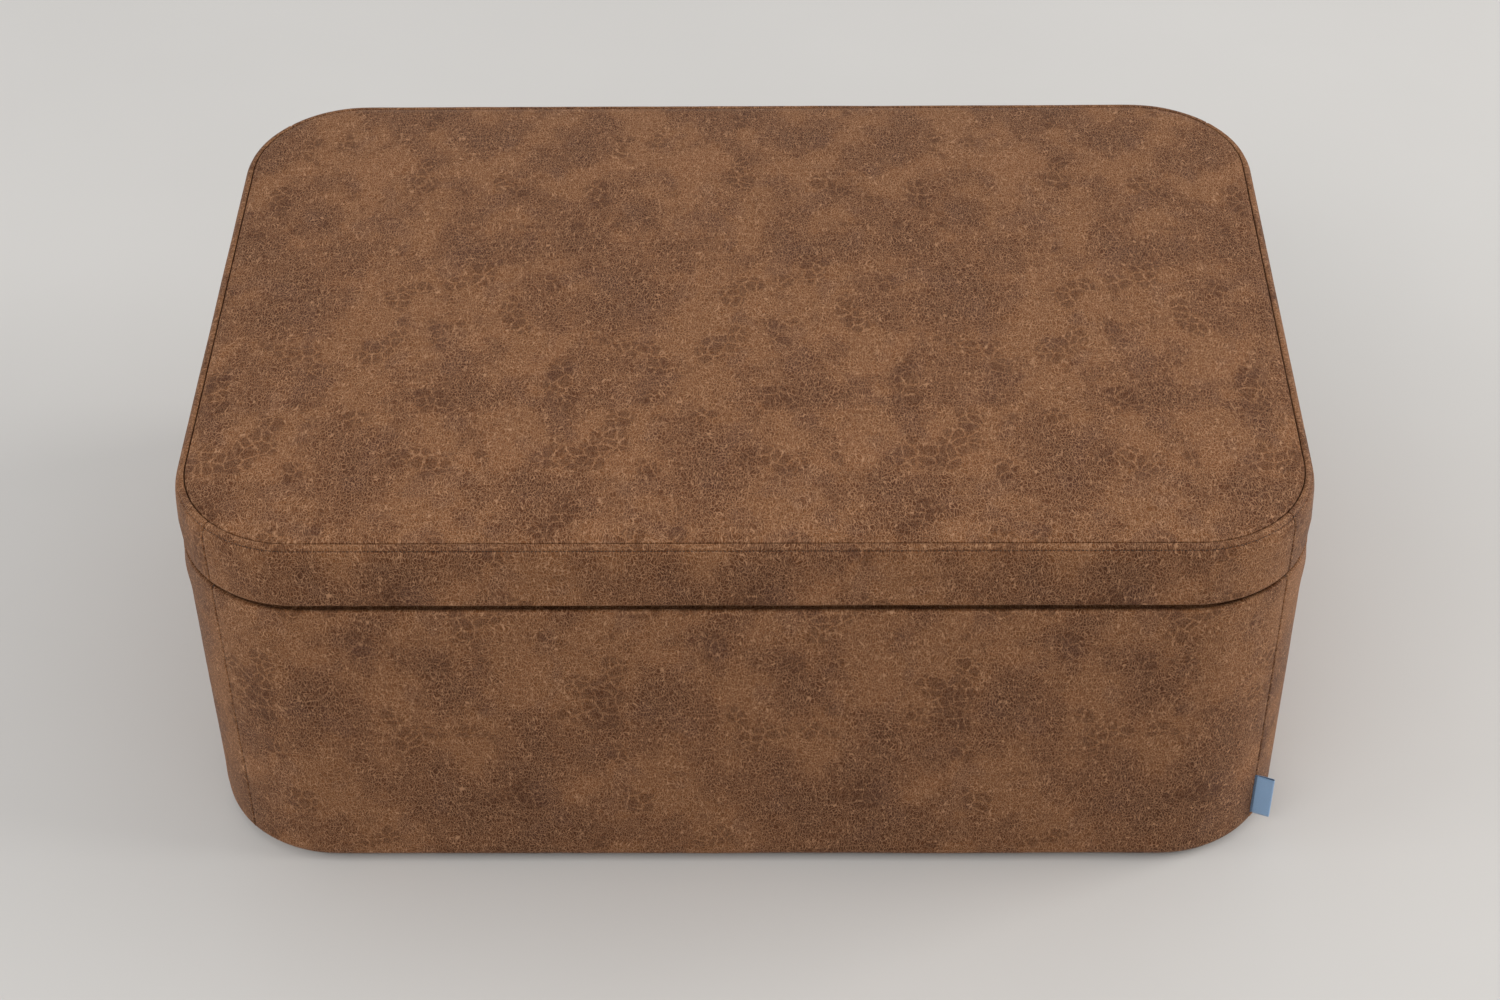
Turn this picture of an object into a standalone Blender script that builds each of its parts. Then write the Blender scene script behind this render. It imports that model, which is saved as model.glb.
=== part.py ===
"""A storage ottoman: an upholstered box whose padded lid is hinged at the back and held by two gas struts.

Metres, +Z up, the floor at z = 0. X runs along the width and -Y is the front.
The lid turns about the pins of two butt hinges that stand just behind it, so the whole
outline is set forward by half a knuckle to keep the origin under the middle of the object.
"""

import math

import bmesh
import bpy
from mathutils import Matrix, Vector

# Lid and body outlines
LID_WIDTH = 0.920
LID_DEPTH = 0.618
LID_CORNER = 0.105
OVERHANG = 0.003
BODY_CORNER = 0.106
ARC_STEPS = 8  # straight steps in each quarter round
ROUND_SIDES = 24
SMALL_SIDES = 16
OVERSHOOT = 0.01  # how far a cutter runs past what it cuts

# Heights above the floor
FOOT_HEIGHT = 0.010
RIM_HEIGHT = 0.300
LID_GAP = 0.003
SEAM_HEIGHT = 0.365
CROWN = 0.012
CROWN_SHARES = (0.08, 0.2, 0.38, 0.62, 0.9)  # of the way in from the lid's edge to its middle
LEAST_CORNER = 0.015

# Thicknesses, from the outside in
FIT = 0.0003
COVER = 0.002
FOAM_FIT = 0.001  # between the lid's foam and its curved border
WALL_FOAM = 0.0174
BOARD = 0.015
LINING = 0.0015
EDGE_ROUND = 0.008
UNDER_TURN = 0.028  # how far the body cover is turned in below the base
LID_TURN = 0.025  # how far the lid border is turned in below the lid board
LID_EDGE_ROUND = 0.006
SHOULDER_INSET = 0.008
SHOULDER_HEIGHT = 0.016

# Seams between the cover panels, as angles about the corner centres
SEAMS = {"back": 45, "left": 135, "front": 226, "right": 321}
SEAM_GAP_DEGREES = 0.16

# Feet, bumpers and label
FOOT_RADIUS = 0.018
FOOT_X = 0.350
FOOT_Y = 0.200
BUMPER_RADIUS = 0.005
BUMPER_X = 0.300
LABEL_LOW = 0.019
LABEL_HIGH = 0.065
LABEL_PROUD = 0.015
LABEL_THICKNESS = 0.0016
LABEL_CLEAR = 0.001
LABEL_TURN = 22  # degrees that the tape leans from straight out towards the right side

# Hinges
KNUCKLE_RADIUS = 0.0032
KNUCKLES = 5
KNUCKLE_GAP = 0.0004
HINGE_LENGTH = 0.070
HINGE_X = 0.240
LEAF = 0.0009
LEAF_REACH = 0.0365
LEAF_CLEAR = 0.001  # between a leaf's plate and the other leaf's knuckles
PIN_RADIUS = 0.0015
PIN_BORE = 0.00158
SCREW_X = 0.022
SCREW_LENGTH = 0.016
SCREW_HEAD = 0.0032
SCREW_SHANK = 0.0016
SCREW_POINT = 0.002

# Gas struts
PIVOT_RADIUS = 0.255  # both ends of a strut are this far from the hinge axis
PIVOT_DROP = 0.012  # of the lid's pivot, below the hinge axis
PIVOT_INSET = 0.008  # of the base's pivot, in front of where the inner corner starts
STRUT_X = 0.400
STRUT_PIN = 0.0032
STRUT_BORE = 0.0033
EYE_RADIUS = 0.0075
EYE_WIDTH = 0.008
TUBE_RADIUS = 0.009
TUBE_WALL = 0.001
TUBE_FLOOR = 0.002
ROD_RADIUS = 0.004
GUIDE_BORE = 0.0044
GUIDE_LENGTH = 0.008
PISTON_RADIUS = 0.0076
PISTON_LENGTH = 0.007
EYE_REACH = 0.010  # from a pivot to the end of the tube or the rod
ROD_SHOWN = 0.0015  # of the rod, outside the tube with the lid shut
BRACKET = 0.003
BRACKET_HALF = 0.018
BRACKET_OVER = 0.0015  # how far the lid bracket's foot runs past the tip of its pin

# Worked out from the above
CENTRE_Y = -KNUCKLE_RADIUS / 2
LID_HALF = (LID_WIDTH / 2, LID_DEPTH / 2)
BODY_HALF = (LID_HALF[0] - OVERHANG, LID_HALF[1] - OVERHANG)
LID_BOTTOM = RIM_HEIGHT + LID_GAP
HINGE_AXIS = Vector((0, CENTRE_Y + LID_HALF[1], RIM_HEIGHT + LID_GAP / 2))
UNDERSIDE = FOOT_HEIGHT + FIT
FOAM_INSET = COVER + FIT
PANEL_INSET = FOAM_INSET + WALL_FOAM + FIT
LINING_INSET = PANEL_INSET + BOARD + FIT
CAVITY_INSET = LINING_INSET + LINING
BASE_LOW = UNDERSIDE + COVER + FIT
WALL_LOW = BASE_LOW + BOARD + FIT
WALL_HIGH = RIM_HEIGHT - COVER - FIT
LID_BOARD_LOW = LID_BOTTOM + COVER + FIT
LID_BOARD_HIGH = LID_BOARD_LOW + BOARD

MATERIALS = {
    "brown_cover": ((0.16, 0.075, 0.035), 0.62, 0.0),
    "foam": ((0.80, 0.76, 0.62), 0.9, 0.0),
    "plywood": ((0.55, 0.40, 0.24), 0.7, 0.0),
    "lining": ((0.05, 0.05, 0.052), 0.85, 0.0),
    "steel": ((0.62, 0.62, 0.60), 0.35, 1.0),
    "black_steel": ((0.03, 0.03, 0.032), 0.4, 0.0),
    "chrome": ((0.80, 0.80, 0.80), 0.12, 1.0),
    "rubber": ((0.03, 0.03, 0.03), 0.8, 0.0),
    "black_plastic": ((0.04, 0.04, 0.042), 0.5, 0.0),
    "blue_label": ((0.14, 0.23, 0.38), 0.7, 0.0),
}


# Scene, materials and parents


def cleared_scene():
    for obj in list(bpy.data.objects):
        bpy.data.objects.remove(obj, do_unlink=True)


def new_collection(name):
    collection = bpy.data.collections.new(name)
    bpy.context.scene.collection.children.link(collection)
    return collection


def material(kind):
    found = bpy.data.materials.get(kind)
    if found:
        return found
    colour, roughness, metallic = MATERIALS[kind]
    made = bpy.data.materials.new(kind)
    made.use_nodes = True
    shader = made.node_tree.nodes["Principled BSDF"]
    shader.inputs["Base Color"].default_value = (*colour, 1)
    shader.inputs["Roughness"].default_value = roughness
    shader.inputs["Metallic"].default_value = metallic
    return made


def part(name, bm, kind, parent=None):
    """A sub-part from a bmesh given in the parent's space."""
    bmesh.ops.recalc_face_normals(bm, faces=bm.faces[:])
    mesh = bpy.data.meshes.new(name)
    bm.to_mesh(mesh)
    bm.free()
    mesh.materials.append(material(kind))
    obj = bpy.data.objects.new(name, mesh)
    PARTS.objects.link(obj)
    obj.parent = parent
    return obj


def as_cutter(obj):
    PARTS.objects.unlink(obj)
    CUTTERS.objects.link(obj)
    obj.hide_render = True
    obj.display_type = "WIRE"
    return obj


def cutter(name, bm, parent=None):
    return as_cutter(part(name, bm, "steel", parent))


def cut(target, other, operation="DIFFERENCE"):
    modifier = target.modifiers.new(f"{operation.lower()} {other.name}", "BOOLEAN")
    modifier.operation = operation
    modifier.solver = "EXACT"
    modifier.object = other


def pivot(name, place, tilt=0.0):
    empty = bpy.data.objects.new(name, None)
    empty.location = place
    empty.rotation_euler.x = tilt
    empty.empty_display_size = 0.03
    PARTS.objects.link(empty)
    return empty


def smooth(obj, angle=35):
    obj.data.shade_smooth()
    obj.data.set_sharp_from_angle(angle=math.radians(angle))


# Basic shapes


def box(low, high):
    bm = bmesh.new()
    middle = (Vector(low) + Vector(high)) / 2
    size = Vector(high) - Vector(low)
    bmesh.ops.create_cube(bm, matrix=Matrix.Translation(middle) @ Matrix.Diagonal((*size, 1)))
    return bm


def rounded_plate(half, corner, low, high):
    """A flat plate about the outline's centre, with its upright edges rounded."""
    bm = box((-half[0], CENTRE_Y - half[1], low), (half[0], CENTRE_Y + half[1], high))
    upright = [e for e in bm.edges if abs(e.verts[0].co.z - e.verts[1].co.z) > (high - low) / 2]
    bmesh.ops.bevel(bm, geom=upright, offset=corner, segments=ARC_STEPS, profile=0.5, affect="EDGES")
    return bm


def inset_plate(half, corner, inset, low, high):
    return rounded_plate([side - inset for side in half], corner - inset, low, high)


def rod_shape(radius, start, end, sides=ROUND_SIDES):
    """A cylinder from start to end."""
    bm = bmesh.new()
    run = Vector(end) - Vector(start)
    turn = Vector((0, 0, 1)).rotation_difference(run).to_matrix().to_4x4()
    place = Matrix.Translation((Vector(start) + Vector(end)) / 2) @ turn
    bmesh.ops.create_cone(
        bm, cap_ends=True, segments=sides, radius1=radius, radius2=radius, depth=run.length, matrix=place
    )
    return bm


def turned(name, profile, kind, parent, steps=ROUND_SIDES):
    """A shape turned about the parent's Z axis from (radius, height) points that run down its outer side."""
    bm = bmesh.new()
    points = [bm.verts.new((radius, 0, height)) for radius, height in profile]
    for first, second in zip(points, points[1:]):
        bm.edges.new((first, second))
    obj = part(name, bm, kind, parent)
    screw = obj.modifiers.new("turn", "SCREW")
    screw.axis = "Z"
    screw.steps = steps
    screw.render_steps = steps
    screw.use_merge_vertices = True
    screw.merge_threshold = 0.00001
    return obj


def corner_centre(half, corner, index):
    """The centre of a quarter round: 0 back right, 1 back left, 2 front left, 3 front right."""
    sides = ((1, 1), (-1, 1), (-1, -1), (1, -1))[index % 4]
    return Vector((sides[0] * (half[0] - corner), CENTRE_Y + sides[1] * (half[1] - corner), 0))


def swept(half, corner, section, first, last):
    """A section of (inset, height) points carried round the outline, anticlockwise, between two angles."""
    bm = bmesh.new()
    index = int(first // 90)
    centre = corner_centre(half, corner, index)
    outward = Vector((math.cos(math.radians(first)), math.sin(math.radians(first)), 0))
    points = [bm.verts.new(centre + outward * (corner - inset) + Vector((0, 0, z))) for inset, z in section]
    start = front = bm.faces.new(points)
    step = 90 / ARC_STEPS
    at = first
    while at < last:
        turn_end = min(last, step * (math.floor(at / step + 1e-6) + 1))
        turn = {"cent": centre, "axis": (0, 0, 1), "angle": math.radians(turn_end - at), "steps": 1}
        made = bmesh.ops.spin(bm, geom=[front], use_duplicate=False, **turn)["geom_last"]
        front = moved_on(bm, front, start, made)
        at = turn_end
        if at == 90 * (index + 1) and at < last:
            run = corner_centre(half, corner, index + 1) - centre
            made = bmesh.ops.extrude_face_region(bm, geom=[front])["geom"]
            moved = [item for item in made if isinstance(item, bmesh.types.BMVert)]
            bmesh.ops.translate(bm, vec=run, verts=moved)
            front = moved_on(bm, front, start, made)
            index += 1
            centre = corner_centre(half, corner, index)
    return bm


def moved_on(bm, front, start, made):
    """The leading face of a sweep, once the one it grew from, now inside, is gone."""
    if front is not start:
        bmesh.ops.delete(bm, geom=[front], context="FACES_ONLY")
    return next(item for item in made if isinstance(item, bmesh.types.BMFace))


def seam_span(side):
    """The two seam angles that a cover panel runs between."""
    order = list(SEAMS)
    following = order[(order.index(side) + 1) % len(order)]
    last = SEAMS[following] + (360 if SEAMS[following] < SEAMS[side] else 0)
    half_gap = SEAM_GAP_DEGREES / 2
    return SEAMS[side] + half_gap, last - half_gap


def arc(centre, radii, first, last, steps=3):
    """(inset, height) points on an ellipse, with 0 degrees pointing inwards and 90 up."""
    angles = [math.radians(first + (last - first) * i / steps) for i in range(steps + 1)]
    return [(centre[0] + radii[0] * math.cos(a), centre[1] + radii[1] * math.sin(a)) for a in angles]


# Base


def wall_boards():
    """Four straight boards and the four bent corner posts between them."""
    straight = [BODY_HALF[i] - BODY_CORNER - FIT for i in (0, 1)]
    outer = [side - PANEL_INSET for side in BODY_HALF]
    inner = [side - BOARD for side in outer]
    spans = {
        "front_panel": ((-straight[0], -outer[1]), (straight[0], -inner[1])),
        "back_panel": ((-straight[0], inner[1]), (straight[0], outer[1])),
        "left_panel": ((-outer[0], -straight[1]), (-inner[0], straight[1])),
        "right_panel": ((inner[0], -straight[1]), (outer[0], straight[1])),
    }
    for name, (low, high) in spans.items():
        low_corner = (low[0], CENTRE_Y + low[1], WALL_LOW)
        high_corner = (high[0], CENTRE_Y + high[1], WALL_HIGH)
        part(name, box(low_corner, high_corner), "plywood")
    board = [(PANEL_INSET, WALL_LOW), (PANEL_INSET, WALL_HIGH)]
    board += [(PANEL_INSET + BOARD, WALL_HIGH), (PANEL_INSET + BOARD, WALL_LOW)]
    for index, place in enumerate(("back_right", "back_left", "front_left", "front_right")):
        post = swept(BODY_HALF, BODY_CORNER, board, 90 * index, 90 * (index + 1))
        part(f"corner_post_{place}", post, "plywood")


def ring(name, inset, thickness, low, high, kind):
    obj = part(name, inset_plate(BODY_HALF, BODY_CORNER, inset, low, high), kind)
    hole = inset_plate(BODY_HALF, BODY_CORNER, inset + thickness, low - OVERSHOOT, high + OVERSHOOT)
    cut(obj, cutter(f"{name}_hole", hole))


def base_boards():
    board = inset_plate(BODY_HALF, BODY_CORNER, PANEL_INSET, BASE_LOW, BASE_LOW + BOARD)
    part("base_board", board, "plywood")
    dust = inset_plate(BODY_HALF, BODY_CORNER, UNDER_TURN + FIT, UNDERSIDE, UNDERSIDE + COVER)
    part("dust_cover", dust, "lining")
    ring("body_foam", FOAM_INSET, WALL_FOAM, UNDERSIDE + EDGE_ROUND, RIM_HEIGHT - EDGE_ROUND, "foam")
    ring("storage_lining", LINING_INSET, LINING, WALL_LOW, WALL_HIGH, "lining")
    floor = inset_plate(BODY_HALF, BODY_CORNER, CAVITY_INSET + FIT, WALL_LOW, WALL_LOW + LINING)
    part("floor_lining", floor, "lining")


def body_covers():
    """Four cover panels, each turned in over the rim and under the base."""
    high = (EDGE_ROUND, RIM_HEIGHT - EDGE_ROUND)
    low = (EDGE_ROUND, UNDERSIDE + EDGE_ROUND)
    outside = (EDGE_ROUND, EDGE_ROUND)
    inside = (EDGE_ROUND - COVER, EDGE_ROUND - COVER)
    section = [(CAVITY_INSET, RIM_HEIGHT)]
    section += arc(high, outside, 90, 180)
    section += arc(low, outside, 180, 270)
    section += [(UNDER_TURN, UNDERSIDE), (UNDER_TURN, UNDERSIDE + COVER)]
    section += arc(low, inside, 270, 180)
    section += arc(high, inside, 180, 90)
    section += [(CAVITY_INSET, RIM_HEIGHT - COVER)]
    for side in SEAMS:
        smooth(part(f"cover_{side}", swept(BODY_HALF, BODY_CORNER, section, *seam_span(side)), "brown_cover"))


def feet_and_bumpers():
    for depth, front in (("front", -1), ("back", 1)):
        for width, right in (("left", -1), ("right", 1)):
            place = Vector((right * FOOT_X, CENTRE_Y + front * FOOT_Y, 0))
            foot = rod_shape(FOOT_RADIUS, place, place + Vector((0, 0, FOOT_HEIGHT)))
            smooth(part(f"foot_{depth}_{width}", foot, "black_plastic"))
    for width, right in (("left", -1), ("right", 1)):
        middle = CENTRE_Y - BODY_HALF[1] + PANEL_INSET + BOARD / 2
        place = Vector((right * BUMPER_X, middle, RIM_HEIGHT + FIT))
        pad = rod_shape(BUMPER_RADIUS, place, place + Vector((0, 0, LID_GAP - 2 * FIT)), SMALL_SIDES)
        smooth(part(f"rim_bumper_{width}", pad, "rubber"))


def label():
    """A folded tape sewn into the front right seam, leaning out from the corner towards the right."""
    bm = box((0, -LABEL_THICKNESS / 2, LABEL_LOW), (LABEL_PROUD, LABEL_THICKNESS / 2, LABEL_HIGH))
    tape = part("side_label", bm, "blue_label")
    seam = math.radians(SEAMS["right"])
    outward = Vector((math.cos(seam), math.sin(seam), 0))
    tape.location = corner_centre(BODY_HALF, BODY_CORNER, 3) + outward * (BODY_CORNER + LABEL_CLEAR)
    tape.rotation_euler.z = seam + math.radians(LABEL_TURN)


# Lid


def crown_levels(start, drop):
    """(inset, height) from the seam to the middle of the lid, rising fast and then levelling off."""
    reach = LID_HALF[1]
    insets = [start] + [reach * share for share in CROWN_SHARES]
    rise = [CROWN * (1 - (1 - (inset - start) / (reach - start)) ** 3) for inset in insets]
    return [(inset, SEAM_HEIGHT - drop + height) for inset, height in zip(insets, rise)]


def stacked(levels, closed):
    """Rounded outlines at rising (inset, height) levels, joined up and covered by the last."""
    bm = bmesh.new()
    rings = []
    for inset, height in levels:
        half = [side - inset for side in LID_HALF]
        corner = max(LID_CORNER - inset, LEAST_CORNER)
        ring_points = []
        for index in range(4):
            centre = corner_centre(half, corner, index)
            for step in range(ARC_STEPS + 1):
                angle = math.radians(90 * (index + step / ARC_STEPS))
                outward = Vector((math.cos(angle), math.sin(angle), 0)) * corner
                ring_points.append(bm.verts.new(centre + outward + Vector((0, 0, height))))
        rings.append(ring_points)
    for lower, upper in zip(rings, rings[1:]):
        for i, point in enumerate(lower):
            after = (i + 1) % len(lower)
            bm.faces.new((point, lower[after], upper[after], upper[i]))
    bm.faces.new(rings[-1])
    if closed:
        bm.faces.new(reversed(rings[0]))
    return bm


def lid_core(parent):
    board = inset_plate(LID_HALF, LID_CORNER, LID_EDGE_ROUND + FIT, LID_BOARD_LOW, LID_BOARD_HIGH)
    part("lid_board", board, "plywood", parent)
    under = LID_BOTTOM + COVER
    sheet = inset_plate(LID_HALF, LID_CORNER, LID_TURN + FIT, under - LINING, under)
    part("lid_underside_lining", sheet, "lining", parent)
    shoulder = (SHOULDER_INSET, SEAM_HEIGHT - SHOULDER_HEIGHT)
    radii = (SHOULDER_INSET - COVER - FOAM_FIT, SHOULDER_HEIGHT - COVER - FOAM_FIT)
    levels = [(COVER + FOAM_FIT, LID_BOARD_HIGH + FIT)] + arc(shoulder, radii, 180, 105)
    levels += crown_levels(SHOULDER_INSET + COVER, COVER + FIT)
    smooth(part("lid_foam", stacked(levels, closed=True), "foam", parent))


def lid_covers(parent):
    crowned = stacked(crown_levels(SHOULDER_INSET + FIT, 0), closed=False)
    top = part("lid_cover_top", crowned, "brown_cover", parent)
    skin = top.modifiers.new("thickness", "SOLIDIFY")
    skin.thickness = LINING
    skin.offset = -1
    smooth(top)
    low = (LID_EDGE_ROUND, LID_BOTTOM + LID_EDGE_ROUND)
    high = (SHOULDER_INSET, SEAM_HEIGHT - SHOULDER_HEIGHT)
    thinner = (LID_EDGE_ROUND - COVER, LID_EDGE_ROUND - COVER)
    section = [(LID_TURN, LID_BOTTOM + COVER), (LID_TURN, LID_BOTTOM)]
    section += arc(low, (LID_EDGE_ROUND, LID_EDGE_ROUND), 270, 180)
    section += arc(high, (SHOULDER_INSET, SHOULDER_HEIGHT), 180, 90)
    section += arc(high, (SHOULDER_INSET - COVER, SHOULDER_HEIGHT - COVER), 90, 180)
    section += arc(low, thinner, 180, 270)
    for side in SEAMS:
        strip = swept(LID_HALF, LID_CORNER, section, *seam_span(side))
        smooth(part(f"lid_border_{side}", strip, "brown_cover", parent))


# Hinges


def hinge_leaf(name, middle_x, level, own_knuckles, parent):
    """A flat leaf below or above the pin, joined to its own knuckles, all bored for the pin."""
    axis = HINGE_AXIS
    low = axis.z + level
    near = axis.y - KNUCKLE_RADIUS - LEAF_CLEAR
    half = HINGE_LENGTH / 2
    plate = box((middle_x - half, axis.y - LEAF_REACH, low), (middle_x + half, near, low + LEAF))
    leaf = part(name, plate, "steel", parent)
    pitch = (HINGE_LENGTH + KNUCKLE_GAP) / KNUCKLES
    for i in own_knuckles:
        start = middle_x - half + i * pitch
        end = start + pitch - KNUCKLE_GAP
        tongue = box((start, near - LEAF_CLEAR, low), (end, axis.y - KNUCKLE_RADIUS / 2, low + LEAF))
        barrel = rod_shape(KNUCKLE_RADIUS, (start, axis.y, axis.z), (end, axis.y, axis.z))
        cut(leaf, cutter(f"{name}_tongue_{i}", tongue, parent), "UNION")
        cut(leaf, cutter(f"{name}_barrel_{i}", barrel, parent), "UNION")
    past = Vector((half + OVERSHOOT, 0, 0))
    middle = Vector((middle_x, axis.y, axis.z))
    bore = rod_shape(PIN_BORE, middle - past, middle + past, SMALL_SIDES)
    cut(leaf, cutter(f"{name}_bore", bore, parent))
    return leaf


def screw_profile(clear=0.0):
    """(radius, height) down a countersunk wood screw, or down its hole when a clearance is given."""
    head, shank = SCREW_HEAD + clear, SCREW_SHANK + clear
    tip = -SCREW_LENGTH - clear
    rim = [(0, OVERSHOOT), (head, OVERSHOOT), (head, 0)] if clear else [(0, 0), (head, 0)]
    return rim + [(shank, SCREW_SHANK - SCREW_HEAD), (shank, tip + SCREW_POINT), (0, tip)]


def hinge_screw(name, place, upward, through, parent):
    """A wood screw, with its hole through each of the pieces it fastens."""
    screw = turned(name, screw_profile(), "steel", parent, SMALL_SIDES)
    hole = turned(f"{name}_hole", screw_profile(FIT), "steel", parent, SMALL_SIDES)
    as_cutter(hole)
    for obj in (screw, hole):
        obj.location = place
        obj.rotation_euler.x = math.pi if upward else 0
    for piece in through:
        cut(piece, hole)


def hinges(lid_parent):
    half = HINGE_LENGTH / 2
    screw_y = HINGE_AXIS.y - OVERHANG - PANEL_INSET - BOARD / 2
    base_low = FIT - LID_GAP / 2
    lid_low = LID_GAP / 2 - FIT - LEAF
    nodes = bpy.data.objects
    for width, right in (("left", -1), ("right", 1)):
        x = right * HINGE_X
        fixed = hinge_leaf(f"hinge_leaf_base_{width}", x, base_low, (0, 2, 4), None)
        moving = hinge_leaf(f"hinge_leaf_lid_{width}", x, lid_low, (1, 3), lid_parent)
        start = (x - half, HINGE_AXIS.y, HINGE_AXIS.z)
        end = (x + half, HINGE_AXIS.y, HINGE_AXIS.z)
        smooth(part(f"hinge_pin_{width}", rod_shape(PIN_RADIUS, start, end, SMALL_SIDES), "steel"))
        base_top = HINGE_AXIS.z + base_low + LEAF
        lid_face = HINGE_AXIS.z + lid_low
        for number, side in enumerate((-1, 1), 1):
            across = x + side * SCREW_X
            below = (fixed, nodes["cover_back"], nodes["back_panel"])
            above = (moving, nodes["lid_underside_lining"], nodes["lid_board"])
            hinge_screw(f"base_screw_{width}_{number}", (across, screw_y, base_top), False, below, None)
            hinge_screw(f"lid_screw_{width}_{number}", (across, screw_y, lid_face), True, above, lid_parent)


# Gas struts


def strut_ends():
    """Where each strut meets the base and the lid, in the plane x = 0."""
    base_y = CENTRE_Y + BODY_HALF[1] - BODY_CORNER - PIVOT_INSET
    back = HINGE_AXIS.y - base_y
    base = Vector((0, base_y, HINGE_AXIS.z - math.sqrt(PIVOT_RADIUS**2 - back**2)))
    ahead = math.sqrt(PIVOT_RADIUS**2 - PIVOT_DROP**2)
    lid = Vector((0, HINGE_AXIS.y - ahead, HINGE_AXIS.z - PIVOT_DROP))
    return base, lid


def eye(name, toward, parent):
    """A ring about the pivot's X axis with a short neck along the strut."""
    ring_body = rod_shape(EYE_RADIUS, (-EYE_WIDTH / 2, 0, 0), (EYE_WIDTH / 2, 0, 0))
    obj = part(name, ring_body, "black_plastic", parent)
    neck_end = EYE_REACH - FIT
    neck = rod_shape(ROD_RADIUS, (0, 0, toward * EYE_RADIUS / 2), (0, 0, toward * neck_end))
    cut(obj, cutter(f"{name}_neck", neck, parent), "UNION")
    bore = rod_shape(STRUT_BORE, (-EYE_WIDTH, 0, 0), (EYE_WIDTH, 0, 0))
    cut(obj, cutter(f"{name}_bore", bore, parent))
    smooth(obj)


def strut(width, right, lid_parent):
    base_end, lid_end = (end + Vector((right * STRUT_X, 0, 0)) for end in strut_ends())
    run = lid_end - base_end
    tilt = math.atan2(-run.y, run.z)
    tube_pivot = pivot(f"strut_tube_pivot_{width}", base_end, tilt)
    rod_pivot = pivot(f"strut_rod_pivot_{width}", lid_end, tilt)
    inner = TUBE_RADIUS - TUBE_WALL
    top = run.length - EYE_REACH - ROD_SHOWN
    tube = [(0, EYE_REACH + TUBE_FLOOR), (inner, EYE_REACH + TUBE_FLOOR), (inner, top - GUIDE_LENGTH)]
    tube += [(GUIDE_BORE, top - GUIDE_LENGTH), (GUIDE_BORE, top), (TUBE_RADIUS, top)]
    tube += [(TUBE_RADIUS, EYE_REACH), (0, EYE_REACH)]
    smooth(turned(f"strut_tube_{width}", tube, "black_steel", tube_pivot))
    eye(f"strut_tube_eye_{width}", 1, tube_pivot)
    piston_low = EYE_REACH + TUBE_FLOOR + FIT - run.length
    piston_high = piston_low + PISTON_LENGTH
    piston = [(0, piston_high), (PISTON_RADIUS, piston_high), (PISTON_RADIUS, piston_low), (0, piston_low)]
    smooth(turned(f"strut_piston_{width}", piston, "black_plastic", rod_pivot))
    rod_low = piston_high + FIT
    bar = [(0, -EYE_REACH), (ROD_RADIUS, -EYE_REACH), (ROD_RADIUS, rod_low), (0, rod_low)]
    smooth(turned(f"strut_rod_{width}", bar, "chrome", rod_pivot))
    eye(f"strut_rod_eye_{width}", -1, rod_pivot)
    strut_brackets(width, right, base_end, lid_end, lid_parent)


def strut_brackets(width, right, base_end, lid_end, lid_parent):
    """A plate on the side wall and an angle under the lid, each with a pin through the strut's eye."""
    tip = STRUT_X - EYE_WIDTH
    wall = BODY_HALF[0] - CAVITY_INSET - FIT
    pin_start = Vector((right * (wall - BRACKET / 2), 0, 0))
    plate = mirrored_box(
        right,
        (wall - BRACKET, base_end.y - BRACKET_HALF, base_end.z - BRACKET_HALF),
        (wall, base_end.y + PIVOT_INSET - FIT, base_end.z + BRACKET_HALF),
    )
    base = part(f"strut_bracket_base_{width}", plate, "steel")
    centre = Vector((0, base_end.y, base_end.z))
    pin = rod_shape(STRUT_PIN, centre + pin_start, centre + Vector((right * tip, 0, 0)))
    cut(base, cutter(f"strut_base_pin_{width}", pin), "UNION")
    ear = STRUT_X + TUBE_RADIUS + BRACKET
    top = LID_BOTTOM - FIT
    inner_x = tip - BRACKET_OVER
    foot = mirrored_box(
        right,
        (inner_x, lid_end.y - BRACKET_HALF, top - BRACKET),
        (ear + BRACKET, lid_end.y + BRACKET_HALF, top),
    )
    angle = part(f"strut_bracket_lid_{width}", foot, "steel", lid_parent)
    flange = mirrored_box(
        right,
        (ear, lid_end.y - EYE_RADIUS, lid_end.z - EYE_RADIUS),
        (ear + BRACKET, lid_end.y + EYE_RADIUS, top - BRACKET / 2),
    )
    cut(angle, cutter(f"strut_lid_flange_{width}", flange, lid_parent), "UNION")
    centre = Vector((0, lid_end.y, lid_end.z))
    start = Vector((right * (ear + BRACKET / 2), 0, 0))
    pin = rod_shape(STRUT_PIN, centre + start, centre + Vector((right * tip, 0, 0)))
    cut(angle, cutter(f"strut_lid_pin_{width}", pin, lid_parent), "UNION")


def mirrored_box(right, low, high):
    if right > 0:
        return box(low, high)
    return box((-high[0], low[1], low[2]), (-low[0], high[1], high[2]))


def hang_on(empty):
    """Keeps the children of an empty where they were built, in world space."""
    for obj in bpy.data.objects:
        if obj.parent == empty:
            obj.matrix_parent_inverse = Matrix.Translation(-empty.location)


cleared_scene()
PARTS = new_collection("storage_ottoman")
CUTTERS = new_collection("cutters")
LID_PIVOT = pivot("lid_pivot", HINGE_AXIS)
base_boards()
wall_boards()
body_covers()
feet_and_bumpers()
label()
lid_core(LID_PIVOT)
lid_covers(LID_PIVOT)
hinges(LID_PIVOT)
for SIDE, RIGHT in (("left", -1), ("right", 1)):
    strut(SIDE, RIGHT, LID_PIVOT)
hang_on(LID_PIVOT)
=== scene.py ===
"""The looks of the storage ottoman: leather cushions, seams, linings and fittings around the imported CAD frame."""

import math

import bmesh
import bpy
import numpy as np
from mathutils import Matrix, Vector, noise


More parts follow.
